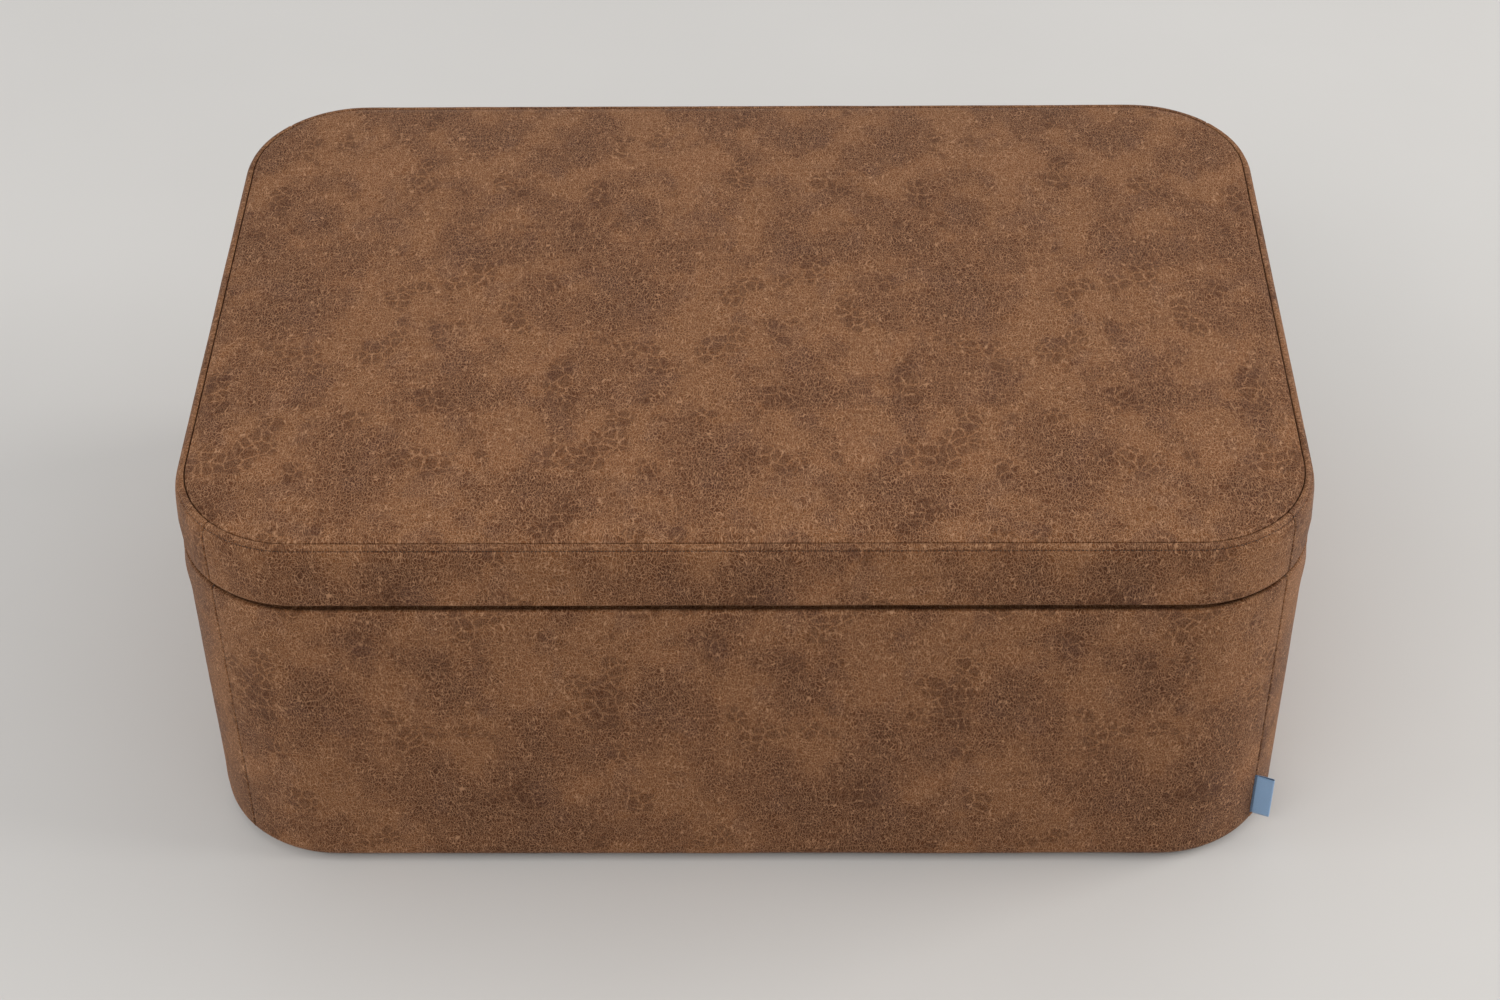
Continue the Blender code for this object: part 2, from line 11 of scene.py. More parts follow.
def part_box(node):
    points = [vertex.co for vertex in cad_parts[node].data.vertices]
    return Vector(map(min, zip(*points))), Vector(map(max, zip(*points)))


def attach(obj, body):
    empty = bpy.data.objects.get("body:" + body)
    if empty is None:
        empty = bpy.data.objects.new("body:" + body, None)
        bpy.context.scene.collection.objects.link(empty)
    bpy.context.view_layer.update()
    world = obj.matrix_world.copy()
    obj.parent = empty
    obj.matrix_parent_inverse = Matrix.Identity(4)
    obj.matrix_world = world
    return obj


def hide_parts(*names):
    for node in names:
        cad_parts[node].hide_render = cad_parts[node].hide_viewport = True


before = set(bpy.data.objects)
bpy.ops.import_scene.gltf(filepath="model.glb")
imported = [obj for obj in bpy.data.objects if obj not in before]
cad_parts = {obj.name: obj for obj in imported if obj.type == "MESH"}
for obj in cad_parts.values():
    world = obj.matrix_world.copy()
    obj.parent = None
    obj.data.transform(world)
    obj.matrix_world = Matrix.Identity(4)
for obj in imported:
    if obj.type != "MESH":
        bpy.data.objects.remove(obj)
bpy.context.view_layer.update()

# The camera, fitted to the outline of the object
CAMERA_PLACE = Vector((0.0317, -1.9385, 1.8816))
CAMERA_LENS = 68.70
CAMERA_DOWN, CAMERA_YAW, CAMERA_ROLL = 0.7320, -0.0155, -0.0123

# Shape of the upholstery, in metres. An inset is measured inwards from the outline
LID_CORNER, BODY_CORNER = 0.105, 0.106  # radii
SEAMS = {"back": 45, "left": 135, "front": 226, "right": 321}  # the arc angle at which each side's panel starts
SEAM_GAP_DEGREES = 0.34
LEATHER = 0.002  # thickness
PITCH = 0.006  # between the stations of an outline, and between the points of the top's grid
MATERIALS = {}


# Nodes


class Shader:
    """A material's node tree, with one short call for each kind of node."""

    def __init__(self, name):
        self.material = bpy.data.materials.new(name)
        self.material.use_nodes = True
        self.nodes = self.material.node_tree.nodes
        self.links = self.material.node_tree.links
        self.surface = self.nodes["Principled BSDF"]
        MATERIALS[name] = self.material

    def put(self, socket, value):
        if isinstance(value, bpy.types.NodeSocket):
            self.links.new(value, socket)
        elif hasattr(socket.default_value, "__len__"):
            size = len(socket.default_value)
            value = (value,) * size if isinstance(value, (int, float)) else tuple(value)
            socket.default_value = (value + (1.0,))[:size]
        else:
            socket.default_value = value

    def set(self, **values):
        for name, value in values.items():
            self.put(self.surface.inputs[name.replace("_", " ")], value)

    def calc(self, operation, a, b=0.0, c=None):
        node = self.nodes.new("ShaderNodeMath")
        node.operation = operation
        self.put(node.inputs[0], a)
        self.put(node.inputs[1], b)
        if c is not None:
            self.put(node.inputs[2], c)
        return node.outputs[0]

    def times(self, a, b):
        return self.calc("MULTIPLY", a, b)

    def linear(self, value, by, plus):
        return self.calc("MULTIPLY_ADD", value, by, plus)

    def vector(self, operation, a, b):
        node = self.nodes.new("ShaderNodeVectorMath")
        node.operation = operation
        self.put(node.inputs[0], a)
        self.put(node.inputs["Scale" if operation == "SCALE" else 1], b)
        return node.outputs["Vector"]

    def stretched(self, at, by):
        return self.vector("MULTIPLY", at, by)

    def attribute(self, name):
        node = self.nodes.new("ShaderNodeAttribute")
        node.attribute_name = name
        return node.outputs["Vector"]

    def place(self):
        return self.nodes.new("ShaderNodeTexCoord").outputs["Object"]

    def noise(self, at, scale, detail=2.0, rough=0.5, colour=False):
        node = self.nodes.new("ShaderNodeTexNoise")
        self.put(node.inputs["Vector"], at)
        for name, number in (("Scale", scale), ("Detail", detail), ("Roughness", rough)):
            node.inputs[name].default_value = number
        return node.outputs["Color" if colour else "Fac"]

    def cells(self, at, feature, scale=1.0, random=1.0):
        """The distance that this feature of flat cells gives."""
        node = self.nodes.new("ShaderNodeTexVoronoi")
        node.voronoi_dimensions = "2D"
        node.feature = feature
        self.put(node.inputs["Vector"], at)
        node.inputs["Scale"].default_value = scale
        node.inputs["Randomness"].default_value = random
        return node.outputs["Distance"]

    def step(self, value, low, high, out_low=0.0, out_high=1.0):
        node = self.nodes.new("ShaderNodeMapRange")
        node.interpolation_type = "SMOOTHSTEP"
        self.put(node.inputs["Value"], value)
        for name, number in (("From Min", low), ("From Max", high), ("To Min", out_low), ("To Max", out_high)):
            self.put(node.inputs[name], number)
        return node.outputs["Result"]

    def mix(self, share, a, b, kind="MIX"):
        node = self.nodes.new("ShaderNodeMix")
        node.data_type = "RGBA"
        node.blend_type = kind
        self.put(node.inputs["Factor"], share)
        self.put(node.inputs[6], a)
        self.put(node.inputs[7], b)
        return node.outputs[2]

    def split(self, at):
        node = self.nodes.new("ShaderNodeSeparateXYZ")
        self.put(node.inputs[0], at)
        return node.outputs

    def join(self, x, y, z):
        node = self.nodes.new("ShaderNodeCombineXYZ")
        for socket, value in zip(node.inputs, (x, y, z)):
            self.put(socket, value)
        return node.outputs[0]

    def wave(self, value, period):
        """0 to 1 and back over each period."""
        turn = self.times(value, 2 * math.pi / period)
        return self.linear(self.calc("SINE", turn), 0.5, 0.5)

    def bump(self, height, distance, strength=1.0):
        node = self.nodes.new("ShaderNodeBump")
        self.put(node.inputs["Height"], height)
        node.inputs["Distance"].default_value = distance
        node.inputs["Strength"].default_value = strength
        self.put(self.surface.inputs["Normal"], node.outputs["Normal"])


HIDE = "hide"  # each leather point's place on the flat hide, in metres
PRINT_WIDTH = 0.285  # the print on the hide repeats
TAN, BROWN, DEEP = (0.186, 0.0735, 0.0265), (0.110, 0.0380, 0.0130), (0.072, 0.0240, 0.0085)
OCHRE, PLUM = (0.215, 0.0840, 0.0320), (0.096, 0.0390, 0.0240)
STRAND, DARK_STRAND = (0.450, 0.245, 0.134), (0.395, 0.205, 0.106)


def leather_material(name):
    """Aged, crackled leather: blotches, a fine net of pale strands that run lengthwise, clusters of larger cells."""
    s = Shader(name)
    at = s.attribute(HIDE)
    u, v, _ = s.split(at)
    # The print wraps round across the hide, as on a drum, so that it repeats without a join.
    radius = PRINT_WIDTH / (2 * math.pi)
    turn = s.calc("DIVIDE", u, radius)
    drum = s.join(s.times(s.calc("COSINE", turn), radius), s.times(s.calc("SINE", turn), radius), v)

    def patches(offset, scale, detail, rough=0.5):
        """Soft patches on the drum, a little longer than they are wide."""
        return s.noise(s.vector("ADD", s.stretched(drum, (1, 1, 0.85)), (0, 0, offset)), scale, detail, rough)

    def bend(scale, reach):
        """How far each point is moved, so that the cells' edges wander."""
        return s.vector("SCALE", s.vector("SUBTRACT", s.noise(at, scale, 1, colour=True), (0.5,) * 3), reach)

    bent = s.vector("ADD", s.vector("ADD", at, bend(42, 0.013)), bend(170, 0.0034))

    def cracks(width, length):
        """How far it is to the edge of cells of this size."""
        return s.cells(s.stretched(bent, (1 / width, 1 / length, 1)), "DISTANCE_TO_EDGE")

    def lines(distance, reach):
        """1 on a line, 0 from reach on."""
        return s.step(distance, 0.0, reach, 1.0, 0.0)

    blotch = patches(0.0, 14, 5, 0.58)
    dark, core = s.step(blotch, 0.44, 0.55), s.step(blotch, 0.53, 0.66)
    drift = s.step(patches(3.7, 20, 2), 0.50, 0.66)
    plum = s.step(patches(7.9, 34, 1), 0.56, 0.70)
    cluster = s.step(patches(5.3, 26, 1), 0.57, 0.65)

    fine, net, large = cracks(0.0020, 0.0044), cracks(0.0044, 0.0092), cracks(0.0105, 0.0125)
    worms = s.noise(s.stretched(bent, (400, 115, 1)), 1.0, 1, 0.5)
    worm = lines(s.calc("ABSOLUTE", s.calc("SUBTRACT", worms, 0.5)), 0.025)
    broken = s.step(s.noise(s.stretched(at, (230, 120, 1)), 1.0, 1, 0.6), 0.34, 0.56, 0.30, 1.0)
    hair = s.times(lines(fine, 0.13), broken)
    vein = s.times(lines(net, 0.060), s.step(broken, 1.0, 0.0, 0.15, 1.0))
    crack = s.times(lines(large, 0.016), s.times(cluster, broken))
    island = s.times(s.step(large, 0.03, 0.16), cluster)

    ground = TAN
    for where, share, colour in (
        (drift, 0.45, OCHRE),
        (dark, 0.90, BROWN),
        (core, 0.60, DEEP),
        (island, 0.50, DEEP),
        (plum, 0.35, PLUM),
    ):
        ground = s.mix(s.times(where, share), ground, colour)
    pits = s.step(s.noise(s.stretched(at, (1.0, 0.6, 1)), 1250, 1, 0.6), 0.34, 0.66, 0.50, 1.26)
    ground = s.mix(1.0, ground, s.join(pits, pits, pits), "MULTIPLY")
    strand = s.calc("MAXIMUM", s.times(hair, 0.80), s.times(vein, 0.92))
    strand = s.calc("MAXIMUM", strand, s.times(worm, 0.88))
    shown = s.calc("MAXIMUM", s.times(strand, s.linear(island, -0.5, 1.0)), s.times(crack, 0.9))
    s.set(Base_Color=s.mix(shown, ground, s.mix(s.times(dark, 0.6), STRAND, DARK_STRAND)))
    s.set(Roughness=s.linear(dark, -0.05, 0.58), Specular_IOR_Level=0.13)
    s.bump(strand, 0.0004, 0.5)


def cloth_material(name, thread, dark, light, rough=0.9, depth=0.0003, inside=None):
    """A plain weave of that thread spacing, in object space, with fluff and slight unevenness."""
    s = Shader(name)
    at = s.attribute(HIDE)
    u, v, _ = s.split(s.vector("ADD", at, s.vector("SCALE", s.noise(at, 60, 2, colour=True), 0.0012)))
    warp, weft = s.wave(u, thread), s.wave(v, thread)
    turn = s.calc("SINE", s.times(s.calc("ADD", u, v), math.pi / thread))
    over = s.linear(s.calc("SINE", s.times(u, math.pi / thread)), 0.5, 0.5)
    under = s.calc("SUBTRACT", 1.0, over)
    woven = s.calc("MAXIMUM", s.times(warp, over), s.times(weft, under))
    fluff = s.noise(at, 900, 3, 0.65)
    tone = s.linear(woven, 0.55, s.times(fluff, 0.35))
    tone = s.linear(s.noise(at, 14, 3), 0.25, tone)
    tone = s.linear(turn, 0.04, tone)
    shown = s.mix(s.step(tone, 0.15, 0.95), dark, light)
    if inside:
        # painted shade: where the third part of a point's place on the cloth is 1, the cloth takes the inside colour, a
        # dark shade painted on the inside of a fold and at the mouth of a seam
        shown = s.mix(s.step(s.split(s.attribute(HIDE))[2], 0.3, 0.7), shown, s.mix(woven, inside, dark))
    s.set(Base_Color=shown, Roughness=rough)
    s.set(Specular_IOR_Level=0.25, Sheen_Weight=0.25, Sheen_Roughness=0.5)
    s.bump(s.linear(fluff, 0.3, woven), depth)


def felt_material(name, dark, light):
    """Bonded fibre, with the small dimples that it is pressed with."""
    s = Shader(name)
    at = s.attribute(HIDE)
    fibres = s.noise(s.stretched(at, (900, 420, 900)), 1.0, 4, 0.7)
    dimples = s.step(s.cells(at, "F1", 620, random=0.15), 0.20, 0.42)
    tone = s.times(s.linear(s.noise(at, 11, 4, 0.6), 0.45, fibres), dimples)
    s.set(Base_Color=s.mix(s.step(tone, 0.1, 0.95), dark, light), Roughness=0.88)
    s.set(Specular_IOR_Level=0.22, Sheen_Weight=0.2, Sheen_Roughness=0.55)
    s.bump(s.linear(fibres, 0.5, dimples), 0.00025, 0.8)


def plywood_material(name):
    """Birch plywood: long grain on the faces and thin plies across the edges."""
    s = Shader(name)
    at = s.place()
    _, y, z = s.split(at)
    grain = s.noise(s.stretched(at, (3, 90, 90)), 1.0, 5, 0.6)
    rings = s.wave(s.linear(s.noise(at, 5, 3), 0.05, y), 0.011)
    plies = s.step(s.wave(z, 0.0026), 0.35, 0.65)
    tone = s.linear(grain, 0.6, s.times(rings, 0.25))
    face = s.mix(s.step(tone, 0.2, 0.7), (0.34, 0.20, 0.095), (0.62, 0.43, 0.24))
    s.set(Base_Color=s.mix(s.times(plies, 0.25), face, (0.25, 0.14, 0.07)), Roughness=0.66)
    s.bump(grain, 0.0003, 0.5)


def metal_material(name, dark, light, rough, metallic=1.0, scratch=(30, 900, 900), coat=0.0):
    """Drawn or plated metal, with fine lines along X, blotchy plating and fingermarks."""
    s = Shader(name)
    at = s.place()
    lines = s.noise(s.stretched(at, scratch), 1.0, 4, 0.7)
    cloud = s.noise(at, 70, 4, 0.6)
    tone = s.linear(lines, 0.45, s.times(cloud, 0.55))
    s.set(Base_Color=s.mix(s.step(tone, 0.25, 0.75), dark, light), Metallic=metallic)
    s.set(Roughness=s.linear(tone, 0.22, rough - 0.11), Coat_Weight=coat, Coat_Roughness=0.2)
    s.bump(lines, 0.00008, 0.6)


def moulded_material(name, dark, light, rough, grain=2600):
    """Moulded plastic or rubber: a fine spark-eroded grain, with scuffs."""
    s = Shader(name)
    at = s.place()
    fine, scuffs = s.noise(at, grain, 3, 0.6), s.noise(at, 120, 4, 0.65)
    s.set(Base_Color=s.mix(s.step(scuffs, 0.35, 0.75), dark, light))
    s.set(Roughness=s.linear(scuffs, 0.2, rough - 0.1), Specular_IOR_Level=0.45)
    s.bump(fine, 0.00008, 0.7)


def thread_material(name, dark, light):
    """Twisted thread."""
    s = Shader(name)
    x, y, _ = s.split(s.attribute(HIDE))
    twist = s.wave(s.linear(y, 1.5, x), 0.0007)
    s.set(Base_Color=s.mix(twist, dark, light), Roughness=0.6, Sheen_Weight=0.3, Sheen_Roughness=0.4)
    s.bump(twist, 0.0001)


# Mesh helpers


def linked(name, data):
    obj = bpy.data.objects.new(name, data)
    bpy.context.scene.collection.objects.link(obj)
    return obj


def new_mesh(name, points, faces):
    mesh = bpy.data.meshes.new(name)
    mesh.from_pydata([tuple(p) for p in points], [], [tuple(int(i) for i in f) for f in faces])
    return mesh


def new_piece(name, points, faces, slot, body, hide=None, smooth=True, material=None):
    """A mesh piece riding on a body, in its slot's material if no other is given. hide holds each point's place in the
    flat material."""
    mesh = new_mesh(name, points, faces)
    mesh.materials.append(MATERIALS[material or slot])
    spots = np.zeros((len(points), 3)) if hide is None else np.asarray(hide, float)
    if spots.shape[1] == 2:
        spots = np.hstack([spots, np.zeros((len(spots), 1))])
    mesh.attributes.new(HIDE, "FLOAT_VECTOR", "POINT").data.foreach_set("vector", spots.astype(np.float32).ravel())
    mesh.polygons.foreach_set("use_smooth", [smooth] * len(mesh.polygons))
    facing = bmesh.new()
    facing.from_mesh(mesh)
    bmesh.ops.recalc_face_normals(facing, faces=facing.faces)
    facing.to_mesh(mesh)
    facing.free()
    mesh.update()
    obj = linked(name, mesh)
    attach(obj, body)
    return obj


QUARTERS = ((1, 1), (-1, 1), (-1, -1), (1, -1))  # the way to each corner


def outline(box, first, last, pitch=PITCH, ends=()):
    """Stations round a rounded box, (low, high, corner), between two arc angles: (x, y), outward (x, y) and distance
    along it. ends are distances from either end at which there are stations too."""
    low, high, corner = box
    middle = (low + high) / 2
    straight = [(high[i] - low[i]) / 2 - corner for i in (0, 1)]
    runs, at, along = [], first, 0.0
    while at < last - 1e-9:
        turn_end = min(last, 90 * (math.floor(at / 90 + 1e-9) + 1))
        length = math.radians(turn_end - at) * corner
        runs.append(("turn", along, length, at, turn_end))
        along += length
        if turn_end % 90 == 0 and turn_end < last:
            length = 2 * straight[0 if round(turn_end / 90) % 2 else 1]
            runs.append(("line", along, length, turn_end, turn_end))
            along += length
        at = turn_end
    total = along
    marks = {0.0, total, *ends, *(total - e for e in ends)}
    inner = max(ends, default=0.0)
    for kind, start, length, *_ in runs:
        count = max(1, round(length / pitch))
        even = [start + length * i / count for i in range(count + 1)]
        marks |= {mark for mark in even if inner < mark < total - inner}
    marks = sorted({round(mark, 6) for mark in marks})
    marks[-1] = total
    stations = []
    for mark in marks:
        kind, start, length, turn_low, turn_high = next(r for r in runs if mark <= r[1] + r[2] + 1e-9)
        share = (mark - start) / length if length else 0.0
        angle = math.radians(turn_low + (turn_high - turn_low) * share)
        index = (round(turn_low / 90) - 1 if kind == "line" else int((turn_low + turn_high) / 2 // 90)) % 4
        centre = [middle[i] + QUARTERS[index][i] * straight[i] for i in (0, 1)]
        if kind == "line":
            after = [middle[i] + QUARTERS[(index + 1) % 4][i] * straight[i] for i in (0, 1)]
            centre = [centre[i] + (after[i] - centre[i]) * share for i in (0, 1)]
        out = (math.cos(angle), math.sin(angle))
        stations.append((centre[0] + corner * out[0], centre[1] + corner * out[1], out[0], out[1], mark))
    return np.array(stations)


def seam_span(side):
    """The arc angles between which this side's panel lies."""
    order = list(SEAMS)
    following = order[(order.index(side) + 1) % len(order)]
    last = SEAMS[following] + (360 if SEAMS[following] < SEAMS[side] else 0)
    return SEAMS[side] + SEAM_GAP_DEGREES / 2, last - SEAM_GAP_DEGREES / 2


def bow(centre, radii, first, last, steps):
    """(inset, height) points on an ellipse, with 0 degrees pointing inwards and 90 up."""
    angles = np.radians(np.linspace(first, last, steps + 1))
    return [(centre[0] + radii[0] * math.cos(a), centre[1] + radii[1] * math.sin(a)) for a in angles]


def line(start, end, pitch):
    count = max(1, round(math.dist(start, end) / pitch))
    return [tuple(np.array(start) + (np.array(end) - start) * i / count) for i in range(count + 1)]


def joined(*parts):
    """Runs of points made one, without the points that repeat."""
    points = []
    for part in parts:
        points += [p for p in part if not points or math.dist(p, points[-1]) > 1e-6]
    return np.array(points, float)


def lengths(points):
    return np.concatenate([[0], np.cumsum(np.linalg.norm(np.diff(points, axis=0), axis=1))])


def outward_of(profile):
    """The outward direction of each point of an (inset, height) profile that runs down the outside."""
    along = np.gradient(profile, axis=0)
    along /= np.linalg.norm(along, axis=1)[:, None] + 1e-12
    return np.stack([along[:, 1], -along[:, 0]], axis=1)


def wander(a, b, c, size):
    """Smooth noise from -1 to 1."""
    return noise.noise(Vector((a / size, b / size, c)))


CLOTH_FRAMES = 20
CLOTH = {
    "vertex_group_mass": "held",
    "use_pressure": True,
    "uniform_pressure_force": 4.0,
    "quality": 6,
    "mass": 0.3,
    "tension_stiffness": 20,
    "compression_stiffness": 20,
    "bending_stiffness": 2.0,
    "air_damping": 4,
}


def relaxed(points, faces, pinned):
    """Where a cloth held at its pinned points ends up when it is blown from behind."""
    obj = linked("blown", new_mesh("blown", points, faces))
    obj.vertex_groups.new(name="held").add([int(i) for i in pinned], 1.0, "REPLACE")
    cloth = obj.modifiers.new("cloth", "CLOTH")
    cloth.point_cache.frame_start, cloth.point_cache.frame_end = 1, CLOTH_FRAMES
    for name, value in CLOTH.items():
        setattr(cloth.settings, name, value)
    cloth.settings.effector_weights.gravity = 0
    for number in range(1, CLOTH_FRAMES + 1):
        bpy.context.scene.frame_set(number)
    result = obj.evaluated_get(bpy.context.evaluated_depsgraph_get()).to_mesh()
    ends = np.empty(len(result.vertices) * 3, np.float32)
    result.vertices.foreach_get("co", ends)
    bpy.data.objects.remove(obj)
    bpy.context.scene.frame_set(1)
    return ends.reshape(-1, 3).astype(float)


def grid_faces(rows, columns):
    index = np.arange(rows * columns).reshape(rows, columns)
    return np.stack([index[:-1, :-1], index[1:, :-1], index[1:, 1:], index[:-1, 1:]], -1).reshape(-1, 4)


def grid_edge(rows, columns):
    """The points round the edge of a grid, in order."""
    index = np.arange(rows * columns).reshape(rows, columns)
    return np.concatenate([index[:-1, 0], index[-1, :-1], index[:0:-1, -1], index[0, :0:-1]])


def ring_faces(start, rings, around):
    """The quads between closed rings of points that follow each other, and a cap at either end."""
    last = start + (rings - 1) * around
    quads = []
    for row in range(start, last, around):
        ring_points = list(range(row, row + around))
        for a, b in zip(ring_points, ring_points[1:] + ring_points[:1]):
            quads.append((a, b, b + around, a + around))
    return [*quads, tuple(reversed(range(start, start + around))), tuple(range(last, last + around))]


def two_sided(rows, columns):
    """The faces of a sheet whose two sides are grids of points, one after the other."""
    size, quads, edge = rows * columns, grid_faces(rows, columns), grid_edge(rows, columns)
    return [*quads, *(quads[:, ::-1] + size), *((b, a, a + size, b + size) for a, b in zip(edge, np.roll(edge, -1)))]


def fullness(rows, columns, points, normals, cap):
    """How far a held patch swells at each point of a grid, from 0 at its edges to cap where it is fullest."""
    moved = relaxed(points, grid_faces(rows, columns), grid_edge(rows, columns)) - points
    swell = np.maximum(0, np.einsum("ij,ij->i", moved, normals)).reshape(rows, columns)
    return swell * (cap / max(swell.max(), 1e-9))


def sampled(grid, rows_at, columns_at):
    """A grid read between its points, at places from 0 to 1."""
    rows, columns = grid.shape
    i, j = np.clip(rows_at, 0, 1) * (rows - 1), np.clip(columns_at, 0, 1) * (columns - 1)
    i0, j0 = np.minimum(i.astype(int), rows - 2), np.minimum(j.astype(int), columns - 2)
    a, b = i - i0, j - j0
    return (
        grid[i0, j0] * (1 - a) * (1 - b)
        + grid[i0 + 1, j0] * a * (1 - b)
        + grid[i0, j0 + 1] * (1 - a) * b
        + grid[i0 + 1, j0 + 1] * a * b
    )


# Panels swept round the outline

ROLL = 0.0016  # radius to which leather turns in at an upright seam
COARSE_ROW, COARSE_COLUMN = 0.012, 0.009  # pitch of the patch that the cloth simulation swells
# How far from either seam a panel has more stations, for the leather to turn in
END_MARKS = (0.0002, 0.0005, 0.0009, 0.0014, 0.002, 0.003, 0.0045, 0.0065, 0.009, 0.0125)


def panel(name, side, box, profiles, body, swell_span, cap, relief, hide_place, stand=None):
    """A padded strip of leather between two upright seams. profiles are its outer and inner (inset, height) profiles,
    which close on each other. swell_span holds the outer one's first and last length that swells, and
    relief(length, along, total) gives the extra height of the surface there."""
    outer, inner = profiles
    stations = outline(box, *seam_span(side), ends=END_MARKS)
    along, total = stations[:, 4], stations[-1, 4]
    reach = lengths(outer)
    push = outward_of(outer)
    # How the panel swells, from a coarse patch held at its seams, its rim and its base
    span = swell_span[1] - swell_span[0]
    rows, columns = max(12, round(total / COARSE_ROW)), max(7, round(span / COARSE_COLUMN))
    row_at = np.linspace(0, total, rows)
    column_at = np.linspace(*swell_span, columns)
    base_x, base_y, out_x, out_y = (np.interp(row_at, along, stations[:, i]) for i in range(4))
    inset, height = (np.interp(column_at, reach, outer[:, i]) for i in (0, 1))
    patch_x = base_x[:, None] - out_x[:, None] * inset
    patch_y = base_y[:, None] - out_y[:, None] * inset
    patch = np.stack([patch_x, patch_y, np.broadcast_to(height, (rows, columns))], -1).reshape(-1, 3)
    facing = np.stack([np.repeat(out_x, columns), np.repeat(out_y, columns), np.zeros(rows * columns)], -1)
    swell = fullness(rows, columns, patch, facing, cap)

    a, r = np.meshgrid(along, reach, indexing="ij")
    puff = sampled(swell, a / total, (r - swell_span[0]) / span)
    puff[(r < swell_span[0]) | (r > swell_span[1])] = 0
    extra = np.array([[relief(length, far, total) for length in reach] for far in along])
    tucked = np.clip(1 - np.minimum(a, total - a) / ROLL, 0, 1)
    rolled = -ROLL * (1 - np.sqrt(1 - tucked**2)) * 1.1
    lift = puff + extra + rolled
    outer_inset = outer[:, 0] + lift * push[:, 0]
    if stand:
        outer_inset = outer_inset - np.array([stand(far, total) for far in along])
    insets = np.hstack([outer_inset, np.tile(inner[:, 0], (len(along), 1))])
    heights = np.hstack([outer[:, 1] + lift * push[:, 1], np.tile(inner[:, 1], (len(along), 1))])
    x = stations[:, 0][:, None] - stations[:, 2][:, None] * insets
    y = stations[:, 1][:, None] - stations[:, 3][:, None] * insets
    points = np.stack([x, y, heights], -1).reshape(-1, 3)
    count, around = insets.shape
    run = np.concatenate([reach, reach[-1] + LEATHER + np.linspace(0, 1, len(inner)) * reach[-1]])
    hide = np.stack([hide_place[0] + np.repeat(along, around), hide_place[1] - np.tile(run, count)], -1)
    return new_piece(name, points, ring_faces(0, count, around), "brown_leather", body, hide)


def puckers(along, near, seed, depth=0.00022, period=0.0075, reach=0.010):
    """Small gathers that fade out away from a seam."""
    fade = math.exp(-near / reach)
    if fade < 0.02:
        return 0.0
    gather = math.sin(2 * math.pi * along / period + 5 * wander(along, seed, 1.7, 0.04))
    return depth * fade * gather * (0.6 + 0.4 * wander(along, seed, 4.1, 0.025))


# Body covers

def box_round(pattern):
    """The low and high corners of the box round the four nodes of that name, one on each side."""
    nodes = {side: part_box(pattern.format(side)) for side in SEAMS}
    low = Vector((nodes["left"][0][0], nodes["front"][0][1], nodes["front"][0][2]))
    return low, Vector((nodes["right"][1][0], nodes["back"][1][1], nodes["back"][1][2]))


BODY_LOW, BODY_HIGH = box_round("cover_{}")
BODY = BODY_LOW, BODY_HIGH, BODY_CORNER
RIM, BASE = BODY_HIGH[2] - 0.0002, BODY_LOW[2]
RIM_IN = 0.0185  # how far in from the face the rim is level, over the boards
RIM_DIP, DIP_FROM, DIP_TO = 0.0046, 0.0082, 0.0056  # the hollow behind its rolled edge
EDGE_DROP, EDGE_IN, EDGE_ROLL = 0.0006, 0.0024, 0.0018  # that edge
PROUD = 0.0042  # how far the padding stands out of the cover
LOW = BASE - 0.0045  # it hangs to here, below the base board
UNDER_FROM = 0.0205  # how far in its underside meets the board's
BASE_ROUND = 0.009  # radius of its lower edge
RIM_REACH, RIM_SKIN = 0.0368, 0.0019  # how far in the leather runs over the rim, and how thick it is there
BASE_REACH = 0.028  # how far in it runs under the base
PAD_DEPTH = 0.0197  # from the leather's face to the boards
START_INSET = 0.0016  # the padding starts this far inside its full shape, before it swells


def body_profiles():
    """From over the rim's boards, down the face and in under the base, then back along the boards."""
    face, edge_low = START_INSET * 0.4, RIM - EDGE_DROP - EDGE_ROLL
    outer = joined(
        line((RIM_REACH, RIM), (RIM_IN, RIM), 0.005),
        line((RIM_IN, RIM), (DIP_FROM, RIM - RIM_DIP), 0.0024),
        [(DIP_TO, RIM - RIM_DIP)],
        bow((EDGE_IN, edge_low), (EDGE_IN - face, EDGE_ROLL), 25, 180, 8),
        line((face, edge_low), (face, LOW + BASE_ROUND), 0.006),
        bow((BASE_ROUND, LOW + BASE_ROUND), (BASE_ROUND - face, BASE_ROUND), 180, 270, 9),
        line((BASE_ROUND, LOW), (UNDER_FROM, BASE), 0.004),
        [(BASE_REACH, BASE)],
    )
    skin, under = RIM - RIM_SKIN, BASE + LEATHER
    return outer, np.array([(BASE_REACH, under), (PAD_DEPTH, under), (PAD_DEPTH, skin), (RIM_REACH, skin)])


def body_relief(seed):
    outer, _ = body_profiles()
    reach = lengths(outer)

    def relief(length, along, total):
        inset, height = (float(np.interp(length, reach, outer[:, i])) for i in (0, 1))
        if inset > (EDGE_IN if height > RIM - 0.02 else 0.012):
            return 0.0
        nearer_seam, seam_seed = min(along, total - along), seed + (9 if along < total / 2 else 11)
        soft = 0.00035 * wander(along, height, seed, 0.11) + 0.00016 * wander(along, height, seed + 3, 0.035)
        soft += puckers(along, abs(RIM - height), seed + 5, 0.00018, 0.021, 0.012)
        soft += puckers(height, nearer_seam, seam_seed, 0.0003, 0.011, 0.008)
        return soft

    return relief


def eased(share):
    """0 to 1, slow at either end."""
    return share * share * (3 - 2 * share)


